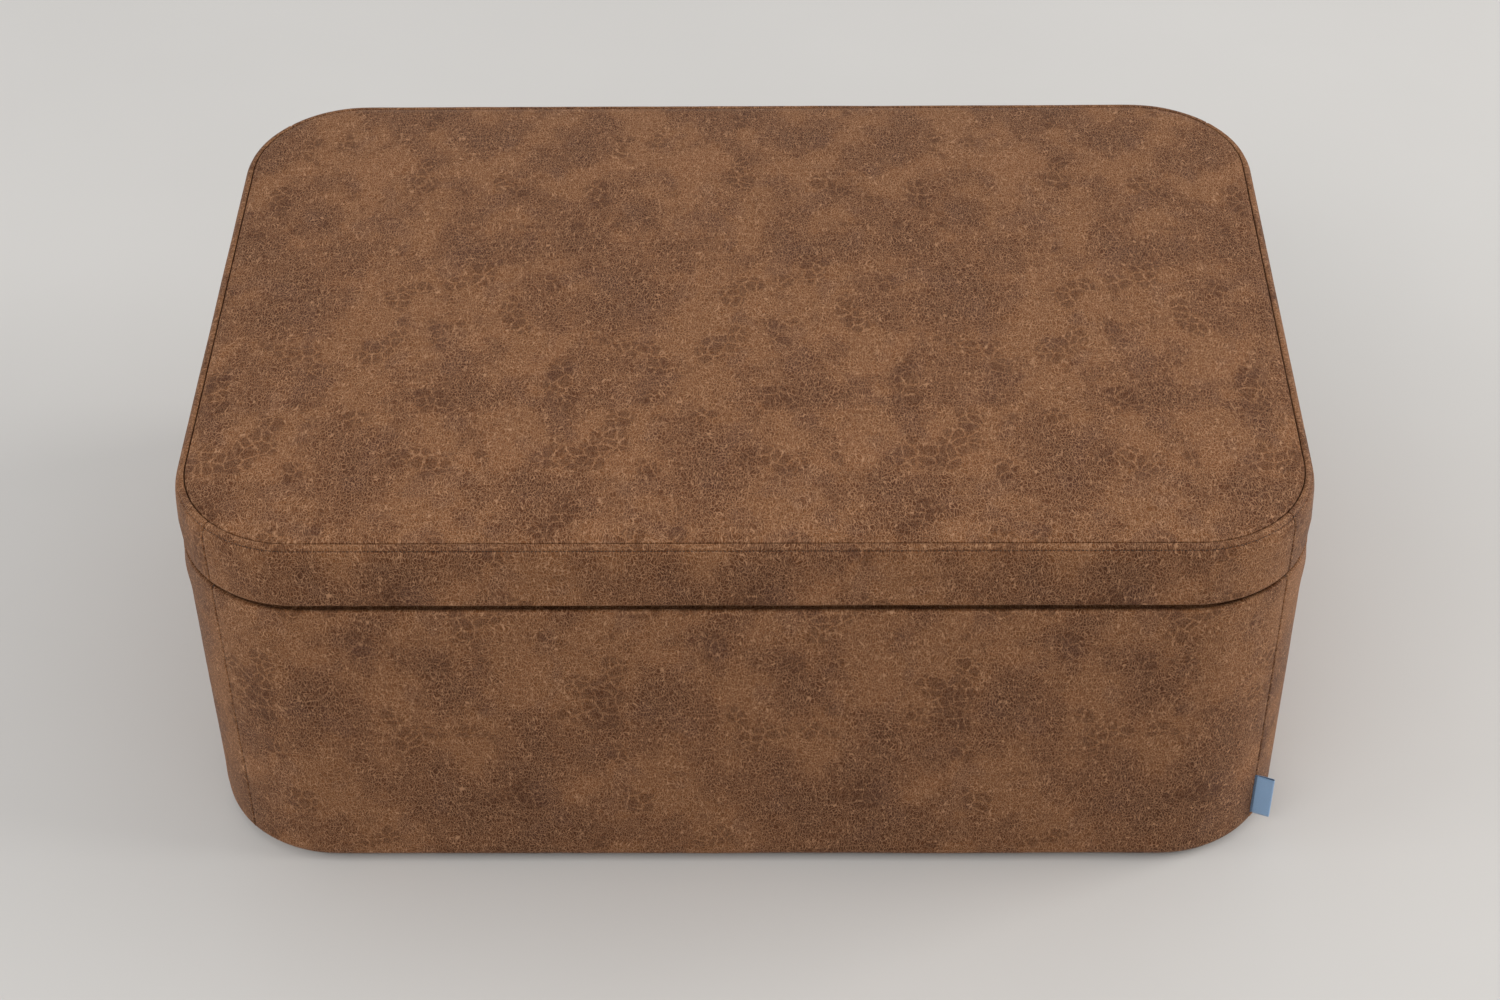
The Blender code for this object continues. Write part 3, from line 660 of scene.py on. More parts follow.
def stand_weight(outer):
    """How much of PROUD each point of the body's profile takes, from none at the boards to all on the face."""
    upper = outer[:, 1] > (RIM + BASE) / 2
    top = np.clip((DIP_TO - outer[:, 0]) / (DIP_TO - EDGE_IN), 0, 1)
    under = np.clip((UNDER_FROM - outer[:, 0]) / (UNDER_FROM - BASE_ROUND), 0, 1)
    return np.where(upper, top, under)


def body_stand(side):
    """How far each point of the profile stands out, at a place along the panel."""
    outer, _ = body_profiles()
    weight = PROUD * stand_weight(outer)
    down = eased(np.clip((RIM - 0.004 - outer[:, 1]) / 0.03, 0, 1))

    def stand(far, total):
        if side != "back":
            return weight
        ends = 1 - min(1.0, max(0.0, (min(far, total - far) - 0.03) / 0.05))
        return weight * np.maximum(eased(ends), down)  # the rim keeps back from the hinge knuckles

    return stand


def build_body():
    profiles = body_profiles()
    outer = profiles[0]
    reach = lengths(outer)
    face_first = reach[np.argmax(outer[:, 1] < RIM - RIM_DIP - 0.0006)]
    face_last = reach[np.flatnonzero(outer[:, 0] < BASE_ROUND * 0.2)[-1]]
    for index, side in enumerate(SEAMS):
        relief, hide_place = body_relief(13.0 * index + 2), (0.117 + 0.731 * index, 0.90 - 0.37 * index)
        span, stand = (face_first, face_last), body_stand(side)
        pad = panel(f"body_pad_{side}", side, BODY, profiles, "base", span, START_INSET, relief, hide_place, stand)
        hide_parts(*([f"cover_{side}"] + (["body_foam"] if side == "front" else [])))


# Lid

LID_LOW, LID_HIGH = box_round("lid_border_{}")
LID = LID_LOW, LID_HIGH, LID_CORNER
LID_BASE, SEAM_HEIGHT = LID_LOW[2] + 0.0004, LID_HIGH[2]
LID_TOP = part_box("lid_cover_top")[1][2]
BOARD_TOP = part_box("lid_board")[1][2]
LID_ROUND = 0.0042  # radius of the border's lower edge
LID_REACH, UNDER_SKIN = 0.025, 0.0015  # how far in it runs under the board, and how thick it is there
SHOULDER_INSET, SHOULDER_DROP = 0.0085, 0.016  # how far in and down its shoulder runs from the seam
BORDER_ROLL, TOP_ROLL = 0.0009, 0.0010  # radii to which border and top turn into the seam
BORDER_SWELL, TOP_SWELL = 0.0014, 0.0030  # how far each swells where it is fullest
TOPSTITCH = 0.0062  # from the lid's seam down to the line of stitches
STITCH, STITCH_GAP, THREAD = 0.0024, 0.0008, 0.00034  # length, the gap after it and the thread's radius
STITCH_RISE = (-1.2, -0.25, 0.35, 0.42, 0.35, -0.25, -1.2)  # its height along it, in radii of the thread
WIRE_SIDES = 6


def border_profiles():
    """From deep in the seam, over the shoulder, down the face and in under the lid."""
    start = 0.0009
    shoulder, foot = (SHOULDER_INSET, SEAM_HEIGHT - SHOULDER_DROP), (LID_ROUND, LID_BASE + LID_ROUND)
    crest = (SHOULDER_INSET + BORDER_ROLL, SEAM_HEIGHT - BORDER_ROLL)
    outer = joined(
        [(crest[0], crest[1] - 0.0022), (crest[0], crest[1] - 0.001)],
        bow((SHOULDER_INSET, SEAM_HEIGHT - BORDER_ROLL), (BORDER_ROLL, BORDER_ROLL), 0, 90, 5),
        bow(shoulder, (SHOULDER_INSET - start, SHOULDER_DROP), 90, 180, 40),
        line((start, shoulder[1]), (start, foot[1]), 0.004),
        bow(foot, (LID_ROUND - start, LID_ROUND), 180, 270, 8),
        line((LID_ROUND, LID_BASE), (LID_REACH, LID_BASE), 0.005),
    )
    inner = joined(
        [(LID_REACH, LID_BASE + UNDER_SKIN)],
        bow(foot, (LID_ROUND - LEATHER, LID_ROUND - UNDER_SKIN), 270, 180, 4),
        bow(shoulder, (SHOULDER_INSET - LEATHER, SHOULDER_DROP - LEATHER - 0.0004), 180, 95, 8),
    )
    return outer, inner


def crest_length(outer):
    return float(lengths(outer)[np.argmax(outer[:, 1])])


def bell(value, middle, width):
    return math.exp(-(((value - middle) / width) ** 2))


def border_relief(seed, outer):
    reach = lengths(outer)
    start = crest_length(outer)

    def relief(length, along, total):
        down = length - start
        if down < -0.0012 or length > reach[-1] - 0.012:
            return 0.0
        height = float(np.interp(length, reach, outer[:, 1]))
        crease = -0.00120 * bell(down, TOPSTITCH, 0.00060)
        band = 0.00042 * bell(down, TOPSTITCH / 2, 0.0022)
        under = 0.00016 * bell(down, TOPSTITCH + 0.0022, 0.0016)
        soft = 0.00022 * wander(along, height, seed, 0.07)
        soft += puckers(along, abs(down - 0.003), seed + 5, 0.00010, 0.0064, 0.005)
        soft += puckers(height, min(along, total - along), seed + 9, 0.00018, 0.009, 0.006)
        soft += puckers(along, abs(height - LID_BASE), seed + 15, 0.00012, 0.024, 0.008)
        return crease + band + under + soft

    return relief


def stitches(name, spots, outs, end, body):
    """A line of short stitches. spots and outs are places on the surface and its outward directions there, and end is
    how far from the last place the stitches stop."""
    travel = lengths(spots)
    points, hide, faces = [], [], []
    count = int((travel[-1] - end) / (STITCH + STITCH_GAP))
    pitch = (travel[-1] - end) / count
    last = len(STITCH_RISE) - 1

    def read(values, far):
        return np.array([np.interp(far, travel, values[:, i]) for i in range(3)])

    for k in range(count):
        faces += ring_faces(len(points), last + 1, WIRE_SIDES)
        for n, up in enumerate(STITCH_RISE):
            far = k * pitch + STITCH_GAP / 2 + STITCH * n / last
            spot, out = read(spots, far), read(outs, far)
            out /= np.linalg.norm(out)
            ahead = read(spots, far + 1e-4) - spot
            ahead /= np.linalg.norm(ahead) + 1e-12
            across = np.cross(out, ahead)
            size = THREAD * (0.55 if n in (0, last) else 1.0)
            for m in range(WIRE_SIDES):
                turn = 2 * math.pi * m / WIRE_SIDES
                points.append(spot + out * (THREAD * up + size * math.sin(turn)) + across * size * math.cos(turn))
                hide.append((far, size * turn, 0))
    return new_piece(name, points, faces, "brown_leather", body, hide, material="seam_thread")


def upright_stitches(name, box, degrees, outer, depth, heights, body):
    """A line of stitches up an upright seam, set back into the groove between two panels. Their very dark thread also
    stands in for the shade deep in the groove: painted shade.
    """
    spot = outline(box, degrees - 0.01, degrees + 0.01)[0]
    reach = lengths(outer)
    first, last = (float(np.interp(-z, -outer[:, 1], reach)) for z in heights)
    far = np.linspace(first, last, 90)
    insets, z = np.interp(far, reach, outer[:, 0]) + depth, np.interp(far, reach, outer[:, 1])
    spots = np.stack([spot[0] - spot[2] * insets, spot[1] - spot[3] * insets, z], -1)
    stitches(name, spots, np.tile((spot[2], spot[3], 0.0), (len(far), 1)), 0.0, body)


def build_border():
    profiles = border_profiles()
    outer = profiles[0]
    reach = lengths(outer)
    seam_line = crest_length(outer) + TOPSTITCH
    last = reach[len(outer) - 1 - np.argmax(outer[::-1, 1] > LID_BASE + LID_ROUND * 0.35)]
    for index, side in enumerate(SEAMS):
        relief, hide_place = border_relief(17.0 * index + 31, outer), (0.43 + 0.617 * index, 0.55 - 0.29 * index)
        span = (seam_line + 0.001, last)
        pad = panel(f"lid_border_pad_{side}", side, LID, profiles, "lid", span, BORDER_SWELL, relief, hide_place)
        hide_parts(f"lid_border_{side}")
        # The line of stitches sits in the crease below the seam
        stations = outline(LID, *seam_span(side), pitch=0.003)
        inset, height = (float(np.interp(seam_line, reach, outer[:, i])) for i in (0, 1))
        push = [float(np.interp(seam_line, reach, outward_of(outer)[:, i])) for i in (0, 1)]
        lift = np.array([relief(seam_line, far, stations[-1, 4]) for far in stations[:, 4]])
        insets, heights = inset + lift * push[0], height + lift * push[1]
        x, y, out_x, out_y = stations[:, :4].T
        spots = np.stack([x - out_x * insets, y - out_y * insets, heights], -1)
        outs = np.stack([-out_x * push[0], -out_y * push[0], np.full(len(stations), push[1])], -1)
        stitches(f"lid_topstitching_{side}", spots, outs, 0.001, "lid")


TOP_EDGE = SHOULDER_INSET + BORDER_ROLL + 0.0009  # inset of the top panel's edge, deep in the seam
GRID_INSET = 0.020  # inset of the grid that its middle is made of
TOP_TURN = 0.0036  # how far its edge drops into the seam
# Below that it spreads over the board inside the border: (inset, depth below the seam)
TOP_TUCK = ((0.0075, 0.0046), (0.0050, 0.0080), (0.0036, 0.0120), (0.0031, SHOULDER_DROP))


def plate_grid(half, corner, pitch):
    """A grid of (x, y) over a rounded rectangle, with straight rows that bend only in the corners."""

    def marks(side):
        inner = side - corner
        body = np.linspace(-inner, inner, max(2, round(2 * inner / pitch)) + 1)
        edge = np.linspace(inner, side, max(2, round(corner * 0.9 / pitch)) + 1)[1:]
        return np.concatenate([-edge[::-1], body, edge])

    xs, ys = marks(half[0]), marks(half[1])
    gx, gy = np.meshgrid(xs, ys, indexing="ij")
    p = np.clip((np.abs(gx) - (half[0] - corner)) / corner, 0, 1)
    q = np.clip((np.abs(gy) - (half[1] - corner)) / corner, 0, 1)
    corner_x = (half[0] - corner) + corner * p * np.sqrt(1 - q**2 / 2)
    corner_y = (half[1] - corner) + corner * q * np.sqrt(1 - p**2 / 2)
    both = (p > 0) & (q > 0)
    x = np.where(both, np.sign(gx) * corner_x, gx)
    y = np.where(both, np.sign(gy) * corner_y, gy)
    return x, y


def crown(x, y, half, edge_rise, middle_rise):
    """The height of the top above its seam: quick to rise at the edge, then nearly level."""
    across = 1 - np.abs(x / half[0]) ** 5
    deep = 1 - np.abs(y / half[1]) ** 4.2
    return edge_rise + (middle_rise - edge_rise) * np.clip(across, 0, 1) * np.clip(deep, 0, 1)


def build_top():
    middle = (LID_LOW + LID_HIGH) / 2
    half = [(LID_HIGH[i] - LID_LOW[i]) / 2 for i in (0, 1)]
    inner_half = [side - GRID_INSET for side in half]
    inner_corner = LID_CORNER - GRID_INSET
    x, y = plate_grid(inner_half, inner_corner, PITCH)
    rows, columns = x.shape
    rise = LID_TOP - SEAM_HEIGHT - TOP_SWELL
    # Held all round, the top swells by as much as the foam below it pushes
    coarse_x, coarse_y = plate_grid(inner_half, inner_corner, 0.0105)
    coarse_rows, coarse_columns = coarse_x.shape
    coarse = np.stack([coarse_x, coarse_y, crown(coarse_x, coarse_y, half, 0.0, rise)], -1).reshape(-1, 3)
    up = np.tile((0.0, 0.0, 1.0), (len(coarse), 1))
    swell = fullness(coarse_rows, coarse_columns, coarse, up, TOP_SWELL)
    row_at = np.interp(x[:, columns // 2], coarse_x[:, coarse_columns // 2], np.linspace(0, 1, coarse_rows))
    column_at = np.interp(y[rows // 2, :], coarse_y[coarse_rows // 2, :], np.linspace(0, 1, coarse_columns))
    puff = sampled(swell, *np.meshgrid(row_at, column_at, indexing="ij"))

    def gathers(px, py, near):
        return puckers(math.atan2(py, px) * 0.35, near, 77, 0.00016, 0.0062, 0.008)

    z = SEAM_HEIGHT + crown(x, y, half, 0.0004, rise) + puff
    points = np.stack([x + middle[0], y + middle[1], z], -1).reshape(-1, 3)
    edge = grid_edge(rows, columns)
    # Each edge point's outward direction, and how near every inner point is to the edge
    flat = points[:, :2] - np.array(middle[:2])
    core = [side - inner_corner for side in inner_half]
    spoke = flat - np.stack([np.clip(flat[:, i], -core[i], core[i]) for i in (0, 1)], -1)
    far = np.linalg.norm(spoke, axis=1)
    near = GRID_INSET - TOP_EDGE + inner_corner - far
    for i, (px, py) in enumerate(flat):
        gentle = 0.00055 * wander(px, py, 3.3, 0.16) + 0.00022 * wander(px, py, 8.8, 0.05)
        points[i, 2] += gentle * min(1, near[i] / 0.02) + gathers(px, py, near[i])
    out = spoke[edge] / far[edge][:, None]
    # The edge band rolls over into the seam, then drops inside the border to the board
    edge_z = points[edge, 2]
    roll_top = SEAM_HEIGHT + 0.0002
    rings = []
    for inset in np.linspace(GRID_INSET, TOP_EDGE + TOP_ROLL, 6)[1:]:
        share = (inset - TOP_EDGE - TOP_ROLL) / (GRID_INSET - TOP_EDGE - TOP_ROLL)
        shaped = roll_top + (edge_z - roll_top) * (1 - (1 - share) ** 1.6)
        rings.append((inset, shaped + np.array([gathers(px, py, inset - TOP_EDGE) for px, py in flat[edge]])))
    for degrees in (18, 36, 54, 72, 90):
        a = math.radians(degrees)
        rings.append((TOP_EDGE + TOP_ROLL * (1 - math.sin(a)), roll_top - TOP_ROLL * (1 - math.cos(a))))
    rings.append((TOP_EDGE, SEAM_HEIGHT - TOP_TURN))
    rings += [(inset, SEAM_HEIGHT - drop) for inset, drop in TOP_TUCK]
    rings.append((TOP_TUCK[-1][0], BOARD_TOP + 0.0003))
    size, around = len(points), len(edge)
    faces = [*grid_faces(rows, columns), *ring_faces(size, len(rings), around)]
    del faces[-2]  # the cap that the grid stands in for
    faces += [(size + k, edge[k], edge[(k + 1) % around], size + (k + 1) % around) for k in range(around)]
    bands = [
        np.column_stack([points[edge, :2] + out * (GRID_INSET - inset), np.broadcast_to(height, around)])
        for inset, height in rings
    ]
    points = np.vstack([points, *bands])
    # The hide runs on down the turned edge
    pad = new_piece("lid_top_pad", points, faces, "brown_leather", "lid", points[:, :2] + np.array([0.31, 0.42]))
    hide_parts("lid_cover_top", "lid_foam")


# Label, linings and small things

LABEL_LOW, LABEL_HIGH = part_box("side_label")[0][2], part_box("side_label")[1][2]
LABEL_PROUD, LABEL_TURN = 0.015, 22  # how far it stands out, and the degrees that it is turned by
LABEL_CLEAR = 0.0004
TAPE = 0.0005  # thickness of the woven tape
SEAM_SHADE_END = 0.0028  # painted shade: how far from either cut end the tape is painted dark navy, for the shade of the seam that it goes into
LOOP = 0.0009  # half the hollow inside its fold
WALL_INSET, HEM = 0.0353, 0.022  # of the lining round the walls


def build_label():
    """A length of woven tape folded into a loop, its cut ends caught in the seam."""
    x, y, *out = outline(BODY, SEAMS["right"], SEAMS["right"] + 1)[0, :4]
    spot = Vector((x, y, 0)) + Vector((*out, 0)) * PROUD
    lean = math.radians(SEAMS["right"] + LABEL_TURN)
    ahead, across = Vector((math.cos(lean), math.sin(lean), 0)), Vector((-math.sin(lean), math.cos(lean), 0))
    # The loop's middle line: out along one side, round the fold and back, bowed a little open
    reach = LABEL_PROUD - LOOP
    shares = np.linspace(-0.12, 1, 12)
    sides = [(share * reach, LOOP * (0.35 + 0.65 * math.sin(math.pi / 2 * max(0, share)) ** 0.7)) for share in shares]
    fold = bow((reach, 0), (LOOP * 1.15, LOOP), -60, 60, 4)
    path = np.array([*((x, -y) for x, y in sides), *fold, *reversed(sides)])
    normal = np.gradient(path, axis=0)
    normal = np.stack([normal[:, 1], -normal[:, 0]], 1) / np.linalg.norm(normal, axis=1)[:, None]
    far = lengths(path)
    heights = np.linspace(LABEL_LOW, LABEL_HIGH, 24)
    points, hide = [], []
    for layer in (0.5, -0.5):
        for share, z in zip(np.linspace(0, 1, len(heights)), heights):
            # woven tape is never quite flat: it bows along its height and its lower corner lifts
            bow_out = 0.0009 * math.sin(math.pi * share) - 0.0006 * share
            for (x, y), n, f in zip(path, normal, far):
                weight = max(0.0, x / LABEL_PROUD) ** 1.5
                side = y + n[1] * TAPE * layer + bow_out * weight
                place = spot + ahead * (x + LABEL_CLEAR + n[0] * TAPE * layer) + across * side
                points.append((place.x, place.y, z - 0.0007 * weight))
                # painted shade: the inside of the loop and its ends at the seam are painted dark navy
                in_painted_shade = layer < 0 or f < SEAM_SHADE_END or far[-1] - f < SEAM_SHADE_END
                hide.append((z, f, float(in_painted_shade)))
    tape = new_piece("side_label_loop", points, two_sided(len(heights), len(path)), "blue_tape", "base", hide)
    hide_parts("side_label")


def ring(box, pitch):
    """Stations all the way round a rounded box, as outline gives them, and the distance round it."""
    stations = outline(box, 0, 360, pitch)
    gap = math.dist(stations[0, :2], stations[-1, :2])
    closing = np.repeat(stations[-1:], round(gap / pitch) - 1, axis=0)
    share = np.arange(1, len(closing) + 1) / (len(closing) + 1)
    closing[:, :2] += share[:, None] * (stations[0, :2] - stations[-1, :2])
    closing[:, 4] += share * gap
    return np.vstack([stations, closing]), float(stations[-1, 4] + gap)


def flat_cloth(name, replaced, body, box, inset, z, thickness, slot, relief):
    """A sheet cut to a rounded box's shape and stapled flat, with slight slackness. Its good side looks the way that
    its thickness, up or down from z, does not."""
    low, high, corner = box
    middle = (low + high) / 2
    half = [(high[i] - low[i]) / 2 - inset for i in (0, 1)]
    corner -= inset
    x, y = plate_grid(half, corner, 0.011)
    rows, columns = x.shape
    core = [side - corner for side in half]
    near = corner - np.hypot(x - np.clip(x, -core[0], core[0]), y - np.clip(y, -core[1], core[1]))
    lift = np.array([[relief(x[i, j], y[i, j], near[i, j]) for j in range(columns)] for i in range(rows)])
    good = z + lift * np.sign(thickness)
    points = [np.stack([x + middle[0], y + middle[1], side], -1).reshape(-1, 3) for side in (good, good - thickness)]
    points = np.vstack(points)
    obj = new_piece(name, points, two_sided(rows, columns), slot, body, points[:, :2])
    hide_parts(replaced)


def wall_lining():
    """The lining round the walls of the storage space: a band with a turned top hem, seamed at one corner."""
    stations, total = ring(BODY, 0.009)
    closing = stations[0].copy()
    closing[4] = total
    stations = np.vstack([stations, closing])
    stations[0, 1] += 0.0002  # the two ends only just meet
    stations[-1, 1] -= 0.0002
    top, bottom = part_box("storage_lining")[1][2] - 0.0002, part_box("floor_lining")[1][2] + 0.0002
    hem = top - HEM
    heights = joined(
        line((0, top), (0, hem), 0.006),
        line((0, hem), (0, hem - 0.0012), 0.0006),
        line((0, hem - 0.0012), (0, bottom), 0.013),
    )[:, 1]
    points, hide = [], []
    for inner in (True, False):
        for x, y, nx, ny, s in stations:
            for z in heights:
                slack = 0.00019 + 0.00019 * wander(s, z * 0.25, 5.5, 0.09) * min(1, (top - z) / 0.05)
                folded = 0.0003 if z > hem - 0.0003 else 0.0
                depth = WALL_INSET + (0.0009 + slack + folded if inner else 0.0001)
                points.append((x - nx * depth, y - ny * depth, z))
                hide.append((s, z, 0))
    obj = new_piece("wall_lining", points, two_sided(len(stations), len(heights)), "lining_cloth", "base", hide)
    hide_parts("storage_lining")


def build_linings():
    def slack(x, y, near):
        soft = 0.0004 * wander(x, y, 6.1, 0.12) + 0.0002 * wander(x, y, 2.2, 0.04)
        return soft * min(1.0, max(near, 0) / 0.03)

    def pressed(x, y, near):
        hem = 0.00015 * (1 / (1 + math.exp((near - 0.016) / 0.0006)))
        return hem + 0.00012 * wander(x, y, 9.4, 0.07) * min(1.0, max(near, 0) / 0.03)

    wall_lining()
    floor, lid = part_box("floor_lining")[1][2], LID_LOW[2]
    for name, replaced, body, box, inset, z, thickness, slot, relief in (
        ("floor_cloth", "floor_lining", "base", BODY, 0.0368, floor, 0.0009, "lining_cloth", slack),
        ("lid_underside_cloth", "lid_underside_lining", "lid", LID, 0.0215, lid, -0.0006, "lining_cloth", pressed),
        ("base_dust_cloth", "dust_cover", "base", BODY, 0.0225, BASE - 0.0003, -0.0007, "dust_cloth", pressed),
    ):
        flat_cloth(name, replaced, body, box, inset, z, thickness, slot, relief)


def wire(path, size, up, start=0, sides=WIRE_SIDES):
    """Points and faces of a round wire along a bent path that lies in one plane. up is square to that plane, and start
    is the number of the first point."""
    path, up = np.array(path, float), np.array(up, float)
    along = np.gradient(path, axis=0)
    along /= np.linalg.norm(along, axis=1)[:, None]
    points = []
    for spot, ahead in zip(path, along):
        across = np.cross(up, ahead)
        for m in range(sides):
            turn = 2 * math.pi * m / sides
            points.append(spot + size * (math.cos(turn) * up + math.sin(turn) * across))
    return points, ring_faces(start, len(path), sides)


STAPLE_WIDTH, STAPLE_WIRE, STAPLE_PITCH = 0.0105, 0.00035, 0.052
STAPLE_LEG, STAPLE_BEND = 0.0014, 0.0004


def staples(name, box, inset, z, body, clear=()):
    """Staples round the edge of a sheet, seen from below. clear holds (x, y, reach) places that have none."""
    stations, total = ring(box, 0.004)
    points, faces = [], []
    count = round(total / STAPLE_PITCH)
    half = STAPLE_WIDTH / 2
    leg = [(half - STAPLE_BEND, 0.0001), (half, -0.0002), (half, -STAPLE_LEG)]
    for k in range(count):
        x, y, nx, ny, far = stations[np.searchsorted(stations[:, 4], (k + 0.5) * total / count)]
        spot = np.array([x - nx * inset, y - ny * inset, z])
        if any(abs(spot[0] - cx) < reach and abs(spot[1] - cy) < reach for cx, cy, reach in clear):
            continue
        tilt = 0.25 * wander(far, 1.1, 2.2, 0.05)
        cos, sin = math.cos(tilt), math.sin(tilt)
        ahead = np.array([nx * sin - ny * cos, nx * cos + ny * sin, 0])
        shape = [(-side, drop) for side, drop in reversed(leg)] + leg
        path = [spot + ahead * side - np.array([0, 0, drop]) for side, drop in shape]
        more_points, more_faces = wire(path, STAPLE_WIRE, np.cross(ahead, (0, 0, 1)), len(points))
        points += more_points
        faces += more_faces
    new_piece(name, points, faces, "zinc_steel", body)


def build_seams():
    body_outer, border_outer = body_profiles()[0], border_profiles()[0]
    body_outer[:, 0] -= PROUD * stand_weight(body_outer)
    border_outer = border_outer[np.argmax(border_outer[:, 1]) :]
    body_ends = (RIM - EDGE_DROP - EDGE_ROLL, LOW + BASE_ROUND * 0.7)
    border_ends = (SEAM_HEIGHT - 0.006, LID_BASE + LID_ROUND)
    for side, degrees in SEAMS.items():
        upright_stitches(f"body_seam_{side}", BODY, degrees, body_outer, 0.0013, body_ends, "base")
        upright_stitches(f"lid_border_seam_{side}", LID, degrees, border_outer, 0.0012, border_ends, "lid")


SCREW_SIDES = 24
CLIP_RADIUS, CLIP_WIRE = 0.0040, 0.0007
EYE_RADIUS, PLATE = 0.0075, 0.003  # of the struts' eyes and their brackets' sheet steel


def drive_screw(name, place, facing, head, rise, length, body):
    """A cross-recessed screw. facing is the way its head looks, and rise its dome's height, 0 for a countersunk one."""
    up = Vector(facing)
    side = up.orthogonal().normalized()
    other = up.cross(side)
    turns = np.radians(np.arange(SCREW_SIDES) * 15 - 15)
    round_ring = np.stack([np.cos(turns), np.sin(turns)], 1)
    arm, wide = head * 0.52, head * 0.12
    quarter = np.array([(arm, -wide), (arm, wide), (wide * 1.6, wide * 1.6)])
    cross = np.vstack([quarter, quarter @ [(0, 1), (-1, 0)], -quarter, quarter @ [(0, -1), (1, 0)]])
    shank = head / 2
    levels = [(0.0004, -length), (shank, 0.002 - length), (shank, 0.0 if rise else shank - head)]
    if rise:
        levels += [(head * math.sqrt(1 - 0.62 * share**2), rise * share) for share in (0, 0.25, 0.5, 0.75)]
    levels += [(head, 0.0)] if not rise else []
    levels.append((levels[-1][0] - head * 0.06, rise))
    rings = [np.column_stack([round_ring * radius, np.full(SCREW_SIDES, level)]) for radius, level in levels]
    mouth = np.column_stack([cross, np.full(len(cross), rise)])
    foot = np.column_stack([cross * 0.5, np.full(len(cross), rise - head * 0.5)])
    shape = np.vstack([*rings, mouth, foot])
    points = [place + side * a + other * b + up * c for a, b, c in shape]
    faces = ring_faces(0, len(rings), SCREW_SIDES)[:-1]
    rim, lip = (len(rings) - 1) * SCREW_SIDES, len(rings) * SCREW_SIDES
    count = len(cross)
    for m in range(count):
        after = (m + 1) % count
        outer = [rim + (2 * m + k) % SCREW_SIDES for k in range(3)]
        faces += [(lip + m, outer[0], outer[1]), (lip + m, outer[1], lip + after), (lip + after, outer[1], outer[2])]
        faces.append((lip + m, lip + after, lip + count + after, lip + count + m))
    faces.append(tuple(range(lip + count, lip + 2 * count)))
    return new_piece(name, points, faces, "zinc_steel", body, smooth=False)


def clip(name, place, along, body):
    """A split spring clip, on a pin that runs that way."""
    level = np.array((0.0, 0.0, 1.0))
    ahead = np.cross(along, level)
    turns = np.radians(np.linspace(-150, 150, 28))
    path = [np.array(place) + CLIP_RADIUS * (math.cos(t) * level + math.sin(t) * ahead) for t in turns]
    new_piece(name, *wire(path, CLIP_WIRE, along, sides=8), "zinc_steel", body)


def hinge_screws(width):
    for body, facing in (("base", 1), ("lid", -1)):
        for number in (1, 2):
            node = f"{body}_screw_{width}_{number}"
            low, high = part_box(node)
            centre = (low + high) / 2
            head = (high[0] - low[0]) / 2
            place = Vector((centre[0], centre[1], high[2] if facing > 0 else low[2]))
            name = f"{body}_cross_screw_{width}_{number}"
            screw = drive_screw(name, place, (0, 0, facing), head, 0, high[2] - low[2], body)
            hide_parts(node)


def bracket_fixings(width, right):
    """Two pan-head screws in each of a strut's brackets, and a clip on each bracket's pin."""
    head, rise, length = 0.0032, 0.0014, 0.010
    low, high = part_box(f"strut_bracket_lid_{width}")
    middle, tip = (low[1] + high[1]) / 2, min(abs(low[0]), abs(high[0]))
    for number, side in enumerate((-1, 1), 1):
        place = Vector((right * (tip + 0.0095), middle + side * 0.0130, high[2] - PLATE))
        drive_screw(f"lid_bracket_screw_{width}_{number}", place, (0, 0, -1), head, rise, length, "lid")
    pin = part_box(f"strut_rod_eye_{width}")[1][2] - EYE_RADIUS
    clip(f"lid_bracket_clip_{width}", (right * (tip + 0.0038), middle, pin), (right, 0, 0), "lid")
    low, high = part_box(f"strut_bracket_base_{width}")
    wall, tip = max(abs(low[0]), abs(high[0])) - PLATE, min(abs(low[0]), abs(high[0]))
    middle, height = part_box(f"strut_tube_eye_{width}")[1][1] - EYE_RADIUS, (low[2] + high[2]) / 2
    for number, side in enumerate((-1, 1), 1):
        place = Vector((right * wall, middle - 0.0120, height + side * 0.0125))
        drive_screw(f"base_bracket_screw_{width}_{number}", place, (-right, 0, 0), head, rise, length, "base")
    clip(f"base_bracket_clip_{width}", (right * (tip + 0.0022), middle, height), (right, 0, 0), "base")


def build_fixings():
    for width, right in (("left", -1), ("right", 1)):
        hinge_screws(width)
        bracket_fixings(width, right)


def build_staples():
    hinge_feet = [
        (x, y, 0.03)
        for leaf in ("hinge_leaf_lid_left", "hinge_leaf_lid_right")
        for x, y in [((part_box(leaf)[0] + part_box(leaf)[1]) / 2).xy]
    ]
    staples("lid_staples", LID, 0.0295, LID_LOW[2] - 0.0002, "lid", clear=hinge_feet)
    staples("base_staples", BODY, 0.031, BASE - 0.0005, "base")


# The scene

WARM, WHITE = (1.0, 0.985, 0.96), (1.0, 0.99, 0.98)
SKY, SKY_STRENGTH = (0.96, 0.98, 1.0, 1), 0.61
FLOOR_SIDE = 6.0


def stage():
    mesh = new_mesh("floor", [(x * FLOOR_SIDE, y * FLOOR_SIDE, 0) for x, y in QUARTERS], [(0, 1, 2, 3)])
    s = Shader("floor_paint")
    mottle = s.noise(s.place(), 3, 3)
    s.set(Base_Color=s.mix(mottle, (0.62, 0.60, 0.575), (0.66, 0.64, 0.615)), Roughness=0.75)
    s.set(Specular_IOR_Level=0.2)
    mesh.materials.append(s.material)
    linked("floor", mesh)


def area_light(name, place, target, size, power, colour):
    data = bpy.data.lights.new(name, "AREA")
    data.shape = "RECTANGLE"
    data.size, data.size_y = size
    data.energy = power
    data.color = colour
    lamp = linked(name, data)
    lamp.location = place
    lamp.rotation_euler = (Vector(target) - Vector(place)).to_track_quat("-Z", "Y").to_euler()


